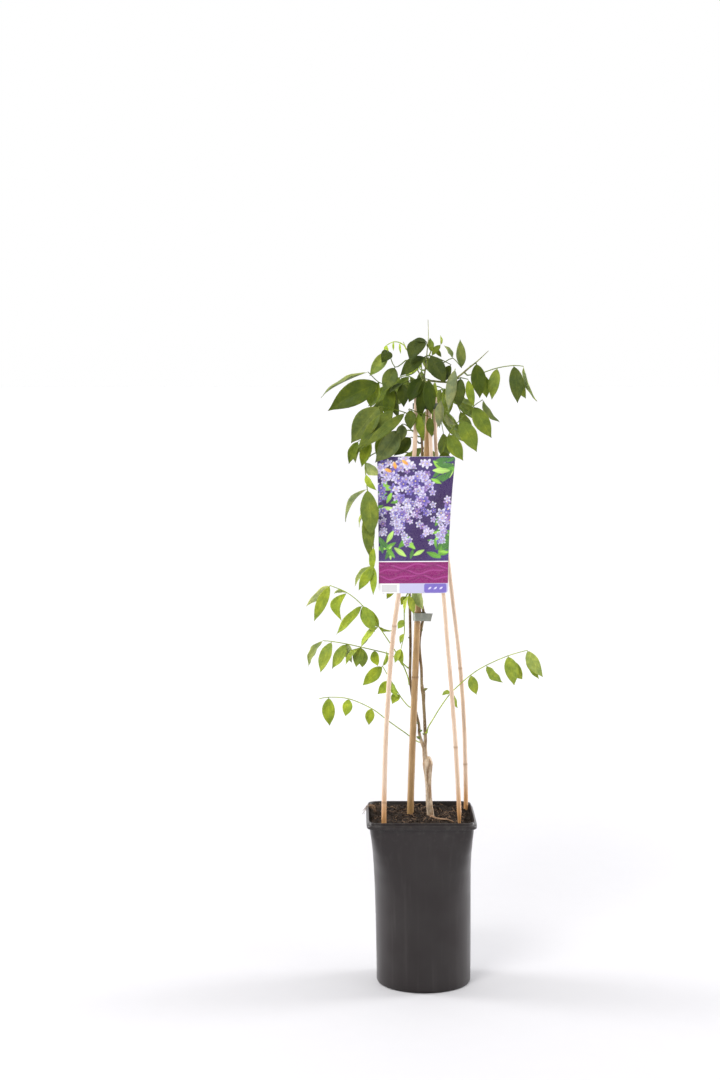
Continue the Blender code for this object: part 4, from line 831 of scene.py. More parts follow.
def new_material(name, roughness, **constants):
    """A new material and its nodes, with constants on the shader's own sockets."""
    material = bpy.data.materials.new(name)
    material.use_nodes = True
    shader = material.node_tree.nodes["Principled BSDF"].inputs
    for key, value in dict(constants, Roughness=roughness).items():
        shader[key.replace("_", " ")].default_value = value
    return material, Nodes(material.node_tree)


def speckle_group():
    """Two colours mixed by broad clouds and fine grain, with a height for bumps."""
    if "speckle" in bpy.data.node_groups:
        return bpy.data.node_groups["speckle"]
    nodes, given, result = new_group(
        "speckle",
        [("Vector", "Vector", None), ("Base", "Color", (0.5, 0.5, 0.5, 1)), ("Second", "Color", (0.3, 0.3, 0.3, 1)),
         ("Cloud Scale", "Float", 20.0), ("Grain Scale", "Float", 400.0), ("Amount", "Float", 0.5)],
        [("Color", "Color"), ("Height", "Float")])
    cloud = nodes.noise(given["Cloud Scale"], 4.0, 0.55, given["Vector"])
    grain = nodes.noise(given["Grain Scale"], 2.0, 0.6, given["Vector"])
    mixed = nodes.plus(nodes.times(cloud, 0.7), nodes.times(grain, 0.3))
    mask = nodes.times(nodes.ramp(mixed, 0.36, 0.66), given["Amount"])
    nodes.plug(result["Color"], nodes.blend(mask, given["Base"], given["Second"]))
    nodes.plug(result["Height"], mixed)
    return nodes.tree


def vein_group():
    """A leaflet's veins from its UV map: the midrib, side veins and the fine net between."""
    if "leaf_veins" in bpy.data.node_groups:
        return bpy.data.node_groups["leaf_veins"]
    nodes, given, result = new_group(
        "leaf_veins", [("UV", "Vector", None)], [("Veins", "Float"), ("Height", "Float"), ("Edge", "Float")])
    u, v, _ = nodes.split(given["UV"])
    aside = nodes.times(nodes.sums("ABSOLUTE", nodes.less(u, 0.5)), 2.0)
    midrib = nodes.ramp(aside, 0.01, 0.055, 1.0, 0.0)
    slanted = nodes.less(v, nodes.times(aside, 0.17))
    wave = nodes.sums("PINGPONG", nodes.times(slanted, 11.0), 0.5)
    side = nodes.times(nodes.ramp(wave, 0.0, 0.075, 1.0, 0.0), nodes.ramp(aside, 0.5, 1.0, 0.75, 0.2))
    net = nodes.cells("DISTANCE_TO_EDGE", given["UV"], (9.0, 24.0, 1.0), 2.6)["Distance"]
    fine = nodes.ramp(net, 0.0, 0.12, 0.32, 0.0)
    veins = nodes.sums("MAXIMUM", midrib, nodes.sums("MAXIMUM", side, fine))
    nodes.plug(result["Veins"], veins)
    nodes.plug(result["Height"], nodes.less(nodes.times(wave, 0.8), nodes.times(veins, 0.7)))
    nodes.plug(result["Edge"], nodes.ramp(aside, 0.88, 1.0))
    return nodes.tree


def speckled_material(name, roughness, colours, scales, amount, bump, **constants):
    """Two colours speckled together, with their clouds and grain as low bumps."""
    material, nodes = new_material(name, roughness, **constants)
    skin = nodes.speckle(*colours, *scales, amount)
    nodes.dress(skin["Color"], skin["Height"], bump, FINE_BUMP)
    return material


def moulded_material(name, base, second, roughness):
    return speckled_material(name, roughness, (base, second), (60.0, 1200.0), 0.6, 0.12)


def leaf_material(name, dark, light, vein_tint, roughness, raised):
    """A leaflet's face: growth with painted glow, painted light and shade, and paleness from its marks; painted light
    from broad clouds and painted shade from dark patches; spots and veins.
    """
    material, nodes = new_material(name, roughness, Specular_IOR_Level=0.15)
    age_and_glow, painted_shading, paleness = nodes.leaf_tint()
    veins = nodes.add("Group", dict(node_tree=vein_group()), UV=nodes.place("UV")).outputs
    cloud = nodes.noise(70.0)
    shade_dapples = nodes.noise(190.0, 3.0, 0.6)
    spots = nodes.noise(420.0, 2.0)
    # Yellow-green blends to dark green as the leaflet grows; on the low leaves the yellow-green is also painted glow,
    # for light shining through them. The colour is then paled towards grey-green.
    base = nodes.blend(paleness, nodes.blend(age_and_glow, light, dark), (0.28, 0.335, 0.20))
    # Painted light and shade: broad clouds lighten the colour like patches of light, and dark patches darken it like
    # patches of shade.
    base = nodes.tint(nodes.ramp(cloud, 0.36, 0.66, 0.0, 0.6), base, (1.9, 1.6, 1.1))
    base = nodes.tint(nodes.ramp(shade_dapples, 0.36, 0.62, 0.45, 0.0), base, (0.55, 0.6, 0.55))
    base = nodes.tint(nodes.ramp(spots, 0.66, 0.74, 0.0, 0.35), base, (0.55, 0.5, 0.4))
    base = nodes.tint(nodes.times(veins["Veins"], 0.46), base, vein_tint)
    base = nodes.tint(nodes.times(veins["Edge"], 0.4), base, (2.3, 2.0, 1.0))
    # Painted light and shade: the leaflet's factor brightens its whole colour where it stands in the light and
    # darkens it where it lies in shade.
    base = nodes.blend(1.0, base, nodes.grey(painted_shading), "MULTIPLY")
    relief = nodes.plus(veins["Height"], nodes.times(nodes.noise(150.0, 2.0), 2.4))
    nodes.dress(base, relief, 0.6, raised, nodes.ramp(cloud, 0.3, 0.7, roughness - 0.06, roughness + 0.1))
    return material


def stalk_material():
    material, nodes = new_material("leaf_stalk", 0.5)
    mottle = nodes.speckle(settings("plant").stalk, (0.20, 0.13, 0.035), 90.0, 700.0, 0.5)
    # Greener stalks on young leaves; on the low leaves this green is also painted glow.
    youth_and_glow = nodes.times(nodes.less(1.0, nodes.leaf_tint()[0]), 0.6)
    nodes.dress(nodes.blend(youth_and_glow, mottle["Color"], (0.40, 0.46, 0.12)), mottle["Height"], 0.2, FINE_BUMP)
    return material


def cane_material(name, tint, shade, foot_shade):
    """Split-grain bamboo: long fibres, blotches, a warmer foot and dark rings at the joints."""
    material, nodes = new_material(name, 0.38, Coat_Weight=0.12, Coat_Roughness=0.3)
    fibres = nodes.noise((1400.0, 1400.0, 28.0), 3.0, 0.6)
    broad = nodes.noise((70.0, 70.0, 9.0))
    mottle = nodes.speckle(tint, shade, 55.0, 900.0, 0.35)["Color"]
    base = nodes.blend(nodes.ramp(fibres, 0.42, 0.7, 0.0, 0.5), mottle, shade)
    base = nodes.tint(nodes.ramp(broad, 0.45, 0.75, 0.0, 0.55), base, (0.80, 0.72, 0.60))
    foot = nodes.ramp(nodes.height(), 0.219, 0.262, foot_shade, 0.0)
    base = nodes.blend(foot, base, (0.52, 0.255, 0.085))
    ring = nodes.blend(1.0, shade, (0.5, 0.42, 0.34), "MULTIPLY")
    base = nodes.blend(nodes.times(nodes.marked("joint"), 0.6), base, ring)
    base = nodes.blend(nodes.marked("end"), base, (0.60, 0.46, 0.27))
    relief = nodes.plus(fibres, nodes.times(broad, 0.6))
    nodes.dress(base, relief, 0.28, 0.0003, nodes.ramp(fibres, 0.3, 0.7, 0.30, 0.52))
    return material


def bark_material():
    """Cracked pale bark on the trunk, brown on the shoots and green at their tips."""
    plant = settings("plant")
    material, nodes = new_material("bark", 0.78)
    height = nodes.height()
    lumps = nodes.noise((260.0, 260.0, 45.0), 5.0, 0.65)
    cracks = nodes.cells("DISTANCE_TO_EDGE", nodes.place(), (420.0, 420.0, 130.0), 1.0)["Distance"]
    crack = nodes.ramp(cracks, 0.0, 0.16, 1.0, 0.0)
    pores = nodes.ramp(nodes.noise((900.0, 900.0, 420.0), 1.0), 0.62, 0.7)
    up_shoot = nodes.ramp(nodes.plus(height, nodes.times(lumps, 0.03)), 0.297, 0.335)
    to_green = nodes.ramp(nodes.plus(height, nodes.times(lumps, 0.05)), 0.70, 0.80)
    base = nodes.blend(up_shoot, plant.old_bark, plant.young_bark)
    base = nodes.blend(to_green, base, plant.green_bark)
    base = nodes.tint(nodes.ramp(lumps, 0.43, 0.62, 0.0, 0.95), base, (0.50, 0.38, 0.26))
    base = nodes.tint(nodes.ramp(nodes.noise(85.0, 2.0), 0.5, 0.7, 0.0, 0.5), base, (1.35, 1.35, 1.3))
    base = nodes.blend(nodes.times(crack, nodes.ramp(height, 0.22, 0.33, 0.42, 0.08)), base, (0.10, 0.066, 0.04))
    base = nodes.blend(nodes.times(pores, 0.5), base, (0.56, 0.45, 0.31))
    base = nodes.blend(nodes.marked("cut"), base, (0.50, 0.37, 0.22))
    relief = nodes.less(nodes.plus(lumps, nodes.times(pores, 0.3)), nodes.times(crack, 0.35))
    nodes.dress(base, relief, 0.55, 0.0006)
    return material


def pot_material():
    """Black moulded plastic with faint upright streaks, and dust and crumbs near the rim."""
    pot = settings("pot")
    material, nodes = new_material("pot_plastic", 0.36, Specular_IOR_Level=0.34)
    height = nodes.height()
    streaks = nodes.noise((150.0, 150.0, 7.0))
    clouds = nodes.noise(22.0, 2.0)
    dust = nodes.ramp(nodes.noise(190.0, 2.0), 0.50, 0.85)
    crumbs = nodes.ramp(nodes.noise(480.0, 2.0), 0.70, 0.74)
    base = nodes.blend(nodes.ramp(clouds, 0.35, 0.70), pot.plastic, (0.0255, 0.0212, 0.0212))
    base = nodes.blend(nodes.ramp(streaks, 0.5, 0.75, 0.0, 0.14), base, pot.scuff)
    base = nodes.blend(nodes.times(dust, nodes.ramp(height, 0.17, 0.215, 0.0, 0.4)), base, pot.scuff)
    base = nodes.blend(nodes.times(crumbs, nodes.ramp(height, 0.202, 0.213, 0.0, 0.6)), base, (0.10, 0.06, 0.035))
    nodes.dress(base, streaks, 0.12, 0.0003, nodes.ramp(clouds, 0.3, 0.7, 0.28, 0.36))
    return material


def soil_material():
    """Dark soil with dry crumbs and, here and there, a chip of bark."""
    pot = settings("pot")
    material, nodes = new_material("potting_soil", 0.93, Specular_IOR_Level=0.25)
    clods = nodes.speckle(pot.soil, pot.soil_light, 130.0, 900.0, 0.45)
    chips = nodes.cells("F1", nodes.place(), (1.0, 1.6, 1.0), 420.0)
    chip = nodes.ramp(chips["Distance"], 0.18, 0.42, 1.0, 0.0)
    chosen = nodes.ramp(nodes.add("SeparateColor", Color=chips["Color"]).outputs[0], 0.84, 0.90)
    base = nodes.blend(nodes.times(nodes.times(chip, chosen), 0.7), clods["Color"], (0.17, 0.10, 0.055))
    nodes.dress(base, nodes.plus(clods["Height"], nodes.times(chip, 0.4)), 0.8, 0.0012)
    return material


def tape_material():
    material, nodes = new_material("tie_tape", 0.33)
    ribs = nodes.noise((160.0, 160.0, 1500.0), 2.0)
    skin = nodes.speckle(settings("label").tape, (0.30, 0.31, 0.27), 120.0, 900.0, 0.5)["Color"]
    nodes.dress(nodes.blend(nodes.ramp(ribs, 0.4, 0.7, 0.0, 0.3), skin, (0.34, 0.36, 0.31)), ribs, 0.3, FINE_BUMP)
    return material


def print_material():
    """The label's printed face, coloured from the picture that is painted on its points."""
    material, nodes = new_material("label_print", 0.34, Coat_Weight=0.08, Coat_Roughness=0.15,
                                   Specular_IOR_Level=0.25)
    grain = nodes.ramp(nodes.noise(1500.0, 1.0), 0.4, 0.6, 0.0, 0.06)
    base = nodes.blend(grain, nodes.marked("ink", "Color"), (0.9, 0.9, 0.95))
    nodes.dress(base, nodes.noise(22.0, 2.0), 0.10, 0.002)
    return material


# The pot and its soil.

def raise_wall(obj, rows):
    """Extrudes an open sheet's rim once for each (height, half width, squareness).

    The last ring is closed, and the whole stands aside as the pot does.
    """
    edit(obj)
    bpy.ops.mesh.region_to_loop()
    mesh = bmesh.from_edit_mesh(obj.data)
    for height, half, power in rows:
        bpy.ops.mesh.extrude_region_move(TRANSFORM_OT_translate={"value": (0, 0, 1 * MM)})
        for vert in mesh.verts:
            if vert.select:
                angle = math.atan2(vert.co.y, vert.co.x)
                vert.co = heading_at(angle) * reach_at(angle, half, power)
                vert.co.z = height
        bmesh.update_edit_mesh(obj.data)
    bpy.ops.mesh.edge_face_add()
    tidy_faces(obj, fill=False)
    for vert in obj.data.vertices:
        vert.co.x += lean_at(vert.co.z)


def pot_rows():
    """The pot's section: up the outside, over the collar and lip, and down the inside."""
    outer = POT_BODY[1:]
    fine = []
    for (z1, _, _), (z2, _, _) in zip(outer, outer[1:]):
        pieces = max(1, round((z2 - z1) / POT_ROW))
        fine += [z1 + (z2 - z1) * i / pieces for i in range(pieces)]
    up = [(z, *pot_body(z)) for z in fine + [outer[-1][0]]]
    collar = [(COLLAR_BOTTOM - 0.0002, COLLAR_HALF - 0.0022), (COLLAR_BOTTOM, COLLAR_HALF), (COLLAR_TOP, COLLAR_HALF),
              (COLLAR_TOP + 0.0006, LIP_HALF + 0.0003), (POT_HEIGHT, LIP_HALF), (POT_HEIGHT, LIP_HALF - POT_WALL),
              (COLLAR_TOP, LIP_HALF - POT_WALL - 0.0004), (COLLAR_BOTTOM, pot_body(POT_BODY[-1][0])[0] - POT_WALL)]
    over = [(z, half, RIM_SQUARENESS) for z, half in collar]
    down = [(z, half - POT_WALL, power) for z, half, power in reversed(up) if z > INSIDE_CURVE]
    inside = [(POT_BODY[2][0], POT_BODY[2][1] - POT_WALL - 0.0012, 2.0), (POT_WALL, POT_BODY[0][1] - 0.0006, 2.0)]
    return up + over + down + inside


class WISTERIA_OT_pot(bpy.types.Operator):
    """Adds the nursery pot, square at the rim and round at the base"""

    bl_idname = "wisteria.pot"
    bl_label = "Pot"
    bl_options = {"REGISTER", "UNDO"}

    def execute(self, context):
        clear_selection()
        bpy.ops.mesh.primitive_circle_add(vertices=POT_SIDES, radius=POT_BODY[0][1], fill_type="NGON")
        pot = context.object
        raise_wall(pot, pot_rows())
        apply_modifier(pot, "BEVEL", width=settings("pot").bevel, segments=2, limit_method="ANGLE",
                       angle_limit=math.radians(38))
        cutters = []
        for reach, count in DRAIN_RINGS:
            for i in range(count):
                clear_selection()
                bpy.ops.mesh.primitive_cylinder_add(vertices=20, radius=DRAIN_RADIUS, depth=8 * MM,
                                                    location=heading_at(2 * math.pi * (i + 0.5) / count) * reach)
                cutters.append(context.object)
        cutter = join(cutters)
        pick(pot)
        apply_modifier(pot, "BOOLEAN", operation="DIFFERENCE", solver="EXACT", object=cutter)
        drop_object(cutter)
        smooth_faces(pot, 40)
        finish_piece(pot, "nursery_pot", "pot_plastic", ["pot"], pot_material())
        return {"FINISHED"}


def soil_height(x, y):
    """The soil's surface: a low mound with clods, a heap, and a bank along the back wall."""
    uneven = settings("pot").roughness
    mound = SOIL_MOUND * max(0.0, 1 - (math.hypot(x, y) / 0.062) ** 2)
    clods = noise.fractal(Vector((x * 55, y * 55, 3.1)), 0.8, 2.1, 3) * uneven
    crumbs = noise.noise(Vector((x * 330, y * 330, 7.7))) * uneven * 0.5
    heap = SOIL_HEAP * hump(x, -0.05, 0.022) * hump(y, 0.035, 0.03)
    banked = SOIL_BANK * part_way(y, 0.022, 0.052) * (1 - 5 * max(0.0, x - 0.02))
    return SOIL_TOP - 0.6 * MM + mound + clods + crumbs + heap + banked


def add_crumbs(rng, material):
    """Crumbs and bark chips that lie on the soil."""
    clear_selection()
    bpy.ops.mesh.primitive_ico_sphere_add(subdivisions=1, radius=1.0)
    crumb = bpy.context.object
    bits = bmesh.new()
    for _ in range(settings("pot").crumbs):
        x, y = rng.uniform(-CRUMB_REACH, CRUMB_REACH), rng.uniform(-CRUMB_REACH, CRUMB_REACH)
        size = rng.choice(CRUMB_SIZES) * MM * rng.uniform(0.7, 1.2)
        count = len(bits.verts)
        bits.from_mesh(crumb.data)
        bits.verts.ensure_lookup_table()
        turn = Matrix.Rotation(rng.uniform(0, 6.28), 3, Vector((rng.random(), rng.random(), rng.random() + 0.1)))
        squash = Vector((rng.uniform(0.7, 1.7), rng.uniform(0.6, 1.1), rng.uniform(0.35, 0.8)))
        centre = Vector((x + lean_at(SOIL_TOP), y, soil_height(x, y) + size * 0.25))
        for vert in bits.verts[count:]:
            rough = 1 + 0.35 * noise.noise(vert.co * 1.7 + Vector((x, y, 0)) * 900)
            vert.co = centre + turn @ (vert.co * squash * size * rough)
    drop_object(crumb)
    finish_piece(add_object(bits, "soil_crumbs"), "soil_crumbs", "potting_soil", [], material)


def add_fibres(rng, material):
    """Fibres on the soil, a tuft of them over the rim, and a root beside the trunk."""
    strands = []
    aside = lean_at(SOIL_TOP)
    for i in range(settings("pot").fibres):
        x, y = rng.uniform(-0.056, 0.056), rng.uniform(-0.056, 0.056)
        heading = rng.uniform(0, 6.28)
        reach = rng.uniform(5, 17) * MM
        radius = rng.uniform(0.10, 0.28) * MM
        row = []
        for step in range(6):
            lift = rng.uniform(0.0, 1.0) * MM + (2.2 * MM * math.sin(step / 5 * math.pi) if i % 4 == 0 else 0)
            row.append(Vector((x + aside, y, soil_height(x, y) + 0.3 * MM + lift, radius * (1 - 0.1 * step))))
            heading += rng.uniform(-0.7, 0.7)
            x = max(-FIBRE_REACH, min(FIBRE_REACH, x + math.cos(heading) * reach / 5))
            y = max(-FIBRE_REACH, min(FIBRE_REACH, y + math.sin(heading) * reach / 5))
        strands.append(roll_tube(smooth(row, 2.5 * MM), 4))
    for _ in range(TUFT_FIBRES):
        top = seen(rng.uniform(-76, -67), rng.uniform(28, 52), rng.uniform(213, 223))
        foot = Vector((aside - 0.054 - rng.uniform(0, 0.004), top.y + rng.uniform(-6, 6) * MM, SOIL_TOP + 2 * MM))
        bow = (top + foot) / 2 + Vector((rng.uniform(-3, 2), rng.uniform(-4, 4), rng.uniform(5, 9))) * MM
        curl = top + Vector((rng.uniform(-3, 3), rng.uniform(-3, 3), rng.uniform(-5, 0))) * MM
        row = [Vector((*p, rng.uniform(0.14, 0.24) * MM)) for p in (foot, bow, top, curl)]
        strands.append(roll_tube(smooth(row, 2 * MM), 4))
    strands.append(roll_tube(smooth(seen_rows(SOIL_ROOT), 2.5 * MM), 10))
    finish_piece(join(strands), "soil_fibres", "potting_soil", [], material)


class WISTERIA_OT_soil(bpy.types.Operator):
    """Adds the potting soil with its crumbs and fibres"""

    bl_idname = "wisteria.soil"
    bl_label = "Soil"
    bl_options = {"REGISTER", "UNDO"}

    def execute(self, context):
        soil = add_grid(150, 150)
        half, power = pot_body(SOIL_TOP)
        half -= POT_WALL + 0.15 * MM
        for vert in soil.data.vertices:
            x, y = vert.co.x, vert.co.y
            square = max(abs(x), abs(y))
            if square > 0:
                angle = math.atan2(y, x)
                reach = square * reach_at(angle, half, 2 + (power - 2) * square**4)
                x, y = math.cos(angle) * reach, math.sin(angle) * reach
            vert.co = (x, y, soil_height(x, y))
        rows = []
        for z in SOIL_ROWS:
            wide, square = pot_body(z)
            rows.append((z, wide - POT_WALL - 0.2 * MM, square))
        raise_wall(soil, rows + [(POT_WALL + GAP, POT_BODY[0][1] - 1 * MM, 2.0)])
        soil.data.shade_smooth()
        earth = soil_material()
        finish_piece(soil, "potting_soil", "potting_soil", ["soil"], earth)
        rng = random.Random(11)
        add_crumbs(rng, earth)
        fibre = settings("pot").fibre
        add_fibres(rng, speckled_material("soil_fibre", 0.85, (fibre, (0.13, 0.075, 0.04)), (75.0, 900.0), 0.9, 0.4))
        return {"FINISHED"}


# The canes and what is fixed to them.

def build_cane(name, material):
    route = cane_route(name, 5 * MM)
    joints = [joint * MM for joint in CANES[name]["joints"]]
    seed = len(name) * 3.7
    rows = []
    for low, high in zip(route, route[1:]):
        rows.append(low)
        if any(low.z - 8 * MM < joint < high.z + 8 * MM for joint in joints):
            rows += [low.lerp(high, 0.2 * i) for i in range(1, 5)]
    rows.append(route[-1])

    def shape(angle, i):
        z = rows[i].z
        factor = 1 + 0.012 * noise.noise(Vector((math.cos(angle) * 1.3, math.sin(angle) * 1.3 + seed, z * 26)))
        if name == "cane_front_right":
            factor *= 1 - 0.6 * part_way(z, 0.222, 0.202)
        for joint in joints:
            off = (z - joint) / MM
            factor += 0.08 * hump(off, 0, 1.1) - 0.03 * hump(off, 2.6, 1.2) + 0.02 * hump(off, -3.0, 3.0)
        return factor

    cane = roll_tube(rows, 20, shape)
    edit(cane, "FACE")
    bpy.ops.mesh.select_all(action="DESELECT")
    work = bmesh.from_edit_mesh(cane.data)
    for face in work.faces:
        face.select_set(len(face.verts) > 4 and face.calc_center_median().z > 0.6)
    bmesh.update_edit_mesh(cane.data)
    bpy.ops.mesh.inset(thickness=rows[-1].w * 0.38)
    bpy.ops.mesh.extrude_region_move(TRANSFORM_OT_translate={"value": (0, 0, -3 * MM)})
    bpy.ops.object.mode_set(mode="OBJECT")
    heights = [vert.co.z for vert in cane.data.vertices]
    low, high = rows[0].z + 0.2 * MM, rows[-1].z - 0.2 * MM
    mark(cane.data, "joint", [max(hump(z, joint, 1.3 * MM) for joint in joints) for z in heights])
    mark(cane.data, "end", [float(z > high or z < low) for z in heights])
    smooth_faces(cane, 55)
    slot = "brown_bamboo" if name == "cane_main" else "pale_bamboo"
    finish_piece(cane, "bamboo_" + name, slot, [name], material)


class WISTERIA_OT_canes(bpy.types.Operator):
    """Adds the four bamboo canes"""

    bl_idname = "wisteria.canes"
    bl_label = "Canes"
    bl_options = {"REGISTER", "UNDO"}

    def execute(self, context):
        plant = settings("plant")
        brown = cane_material("brown_bamboo", plant.main_cane, (0.25, 0.135, 0.05), 0.12)
        pale = cane_material("pale_bamboo", plant.thin_cane, (0.54, 0.35, 0.22), 0.92)
        for name in CANES:
            build_cane(name, brown if name == "cane_main" else pale)
        coat(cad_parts["cane_clip"],
             moulded_material("clip_plastic", (0.022, 0.042, 0.012), (0.035, 0.055, 0.02), 0.5))
        return {"FINISHED"}


class WISTERIA_OT_tape(bpy.types.Operator):
    """Adds the strip of tape that ties the vine to the main cane"""

    bl_idname = "wisteria.tape"
    bl_label = "Tape tie"
    bl_options = {"REGISTER", "UNDO"}

    def execute(self, context):
        cane, _, cane_radius = place_at(cane_route("cane_main"), TAPE_HEIGHT)
        stem, _, stem_radius = place_at(vine_routes(SHOOT_STEP)["a"], TAPE_HEIGHT)
        towards = stem - cane
        towards.z = 0
        radius = (towards.length + cane_radius + stem_radius) / 2
        middle = cane + towards.normalized() * (radius - cane_radius)
        radius += GAP + TAPE_THICK
        route = []
        for i in range(TAPE_TURN_STEPS + 1):
            ratio = i / TAPE_TURN_STEPS
            angle = math.radians(-70) + 2 * math.pi * 1.03 * ratio
            route.append(middle + heading_at(angle) * (radius + TAPE_FLARE * ratio))
        for step in range(1, TAPE_TAIL_STEPS + 1):
            ratio = step / TAPE_TAIL_STEPS
            route.append(route[TAPE_TURN_STEPS] + Vector((TAPE_TAIL * ratio, TAPE_FLARE * ratio**2, 0)))
        last = len(route) - 1
        tape = add_grid(last, 6)
        for vert in tape.data.vertices:
            i = round((vert.co.x + 1) / 2 * last)
            tail = max(0.0, (i - TAPE_TURN_STEPS) / TAPE_TAIL_STEPS)
            wave = noise.noise(Vector((i * 0.13, vert.co.y * 0.8, 2.0))) * 0.35 * MM
            slant = 1.3 * MM * vert.co.y if i == last else 0
            vert.co = (route[i].x + wave * 0.6 + slant, route[i].y + wave * (0.4 + tail),
                       TAPE_HEIGHT + vert.co.y * TAPE_WIDTH / 2 - 0.6 * MM * tail)
        apply_modifier(tape, "SOLIDIFY", thickness=TAPE_THICK * 0.6, offset=0)
        smooth_faces(tape, 50)
        finish_piece(tape, "tape_strip", "tie_tape", ["tape_tie"], tape_material())
        return {"FINISHED"}


# The label and its printed picture.

def label_edges(z):
    """The label's middle and half width at a height, with its corners rounded."""
    ratio = (z - LABEL_BOTTOM) / (LABEL_TOP - LABEL_BOTTOM)
    middle = LABEL_MIDDLE_FOOT + (LABEL_MIDDLE_HEAD - LABEL_MIDDLE_FOOT) * ratio**2
    half = LABEL_HALF_FOOT + (LABEL_HALF_HEAD - LABEL_HALF_FOOT) * ratio**2
    edge = max(0.0, min(z - LABEL_BOTTOM, LABEL_TOP - z, LABEL_CORNER))
    half -= LABEL_CORNER - math.sqrt(LABEL_CORNER**2 - (LABEL_CORNER - edge) ** 2)
    return middle, half


class Picture:
    """A printed picture: colours at points given in millimetres across and up the label."""

    def __init__(self, across, up, ground):
        self.across = across
        self.up = up
        self.ink = np.tile(np.array(ground, float), (len(across), 1))

    def paint(self, cover, ink):
        """Lays ink where cover is above 0."""
        self.ink += (np.asarray(ink, float) - self.ink) * np.clip(cover, 0, 1)[:, None]

    def oval(self, x, y, long, wide, turn, ink, tip=None, soft=0.35, pointed=0.0):
        """An oval, or a pointed blade, shaded from its base's ink to its tip's."""
        near = np.hypot(self.across - x, self.up - y) < long + soft
        a, b = self.across[near] - x, self.up[near] - y
        c, s = math.cos(turn), math.sin(turn)
        along, aside = (a * c + b * s) / long, (b * c - a * s) / wide
        reach = np.hypot(along, aside * (1 + pointed * along * along))
        cover = np.clip((1 - reach) * min(long, wide) / soft + 0.5, 0, 1)[:, None]
        ink = np.asarray(ink, float)
        tip = ink if tip is None else np.asarray(tip, float)
        shade = np.clip((along + 1) / 2, 0, 1)[:, None]
        self.ink[near] += (ink + (tip - ink) * shade - self.ink[near]) * cover


def paint_leaves(picture, rng, tall):
    for cx, cy, spread, count in PRINT_LEAVES:
        for _ in range(count):
            x, y = rng.gauss(cx, spread * 0.6), rng.gauss(cy, spread)
            if y < 47 or y > tall:
                continue
            size, turn = rng.uniform(5, 11), rng.uniform(0, 6.28)
            base = rng.choice(PRINT_GREENS)
            picture.oval(x, y, size, size * 0.34, turn, base, [c * 1.7 for c in base], pointed=0.9)
            picture.oval(x, y, size * 0.9, 0.25, turn, [min(1, c * 2.0) for c in base])


def paint_blossoms(picture, rng, tall):
    """Hanging sprays of five-petalled blossoms, small at their tips."""
    for x1, y1, x2, y2, count, wide in PRINT_SPRAYS:
        for i in range(count):
            ratio = (i + rng.random()) / count
            x = x1 + (x2 - x1) * ratio + rng.gauss(0, wide * (1.15 - 0.85 * ratio))
            y = min(tall - 2, y1 + (y2 - y1) * ratio + rng.gauss(0, 4))
            if y < 50:
                continue
            size = rng.uniform(2.6, 5.0) * (1.15 - 0.45 * ratio)
            turn = rng.uniform(0, 6.28)
            base, tip = rng.choice(PRINT_PETALS)
            for k in range(5):
                a = turn + k * 2 * math.pi / 5
                c, s = math.cos(a) * size, math.sin(a) * size
                picture.oval(x + c * 0.62, y + s * 0.62, size * 0.66, size * 0.36, a, base, tip)
                picture.oval(x + c * 0.45, y + s * 0.45, size * 0.40, size * 0.06, a, base)
            picture.oval(x, y, size * 0.20, size * 0.20, 0, (0.80, 0.62, 0.20))
    for x, y in ((-26, 157), (-14, 161), (-34, 151)):
        picture.oval(x, y, 4.5, 2.0, rng.uniform(0, 3), (0.80, 0.30, 0.04), (0.95, 0.55, 0.12))


def paint_foot(picture, label):
    """The band with wavy lines, and the pale foot with its dotted block and petal panel."""
    up, across = picture.up, picture.across
    in_band = up < PRINT_BAND_TOP
    picture.paint(up < PRINT_BAND_TOP + 0.9, (0.93, 0.93, 0.95))
    picture.paint(in_band, label.band)
    for k in range(7):
        crest = 17 + 3.4 * k + 2.2 * np.sin(across * 0.11 + k * 1.3) + 1.2 * np.sin(across * 0.23 - k)
        line = np.clip(1.3 - np.abs(up - crest), 0, 1)
        picture.paint(line * in_band * 0.8, (0.42, 0.06, 0.29) if k % 2 else (0.20, 0.010, 0.12))
    picture.paint(np.clip((PRINT_FOOT_TOP - up) / 0.3, 0, 1), (0.90, 0.90, 0.92))
    picture.paint((up < PRINT_FOOT_TOP) * (across > -17), (0.56, 0.55, 0.78))
    dots = (np.sin(across * 2.1) * np.sin(up * 2.1)) ** 2
    block = (up < 10.6) * (up > 1.6) * (across < -20) * (across > -39)
    picture.paint(block * (0.35 + 0.5 * dots), (0.42, 0.41, 0.42))
    corner = np.hypot(np.maximum(np.abs(across - 27) - 11.5, 0), np.maximum(np.abs(up - 6.2) - 3.2, 0))
    picture.paint(np.clip((2.6 - corner) / 0.4, 0, 1), label.panel)
    for k in range(3):
        picture.oval(20 + 7 * k, 6.2, 2.4, 1.1, 0.6, (0.62, 0.56, 0.90), (0.85, 0.82, 0.98), pointed=0.8)


def paint_label(picture):
    """A generic garden print on a dark ground that glows and fades in soft patches."""
    rng = random.Random(5)
    tall = (LABEL_TOP - LABEL_BOTTOM) / MM
    glow = np.sin(picture.across * 0.09 + 1.0) * np.cos(picture.up * 0.05) * 0.5 + 0.3
    picture.paint(glow, (0.085, 0.055, 0.26))
    picture.paint(np.cos(picture.across * 0.06 - 1.2) * np.sin(picture.up * 0.07 + 0.4) * 0.6, (0.030, 0.012, 0.050))
    paint_leaves(picture, rng, tall)
    paint_blossoms(picture, rng, tall)
    paint_foot(picture, settings("label"))


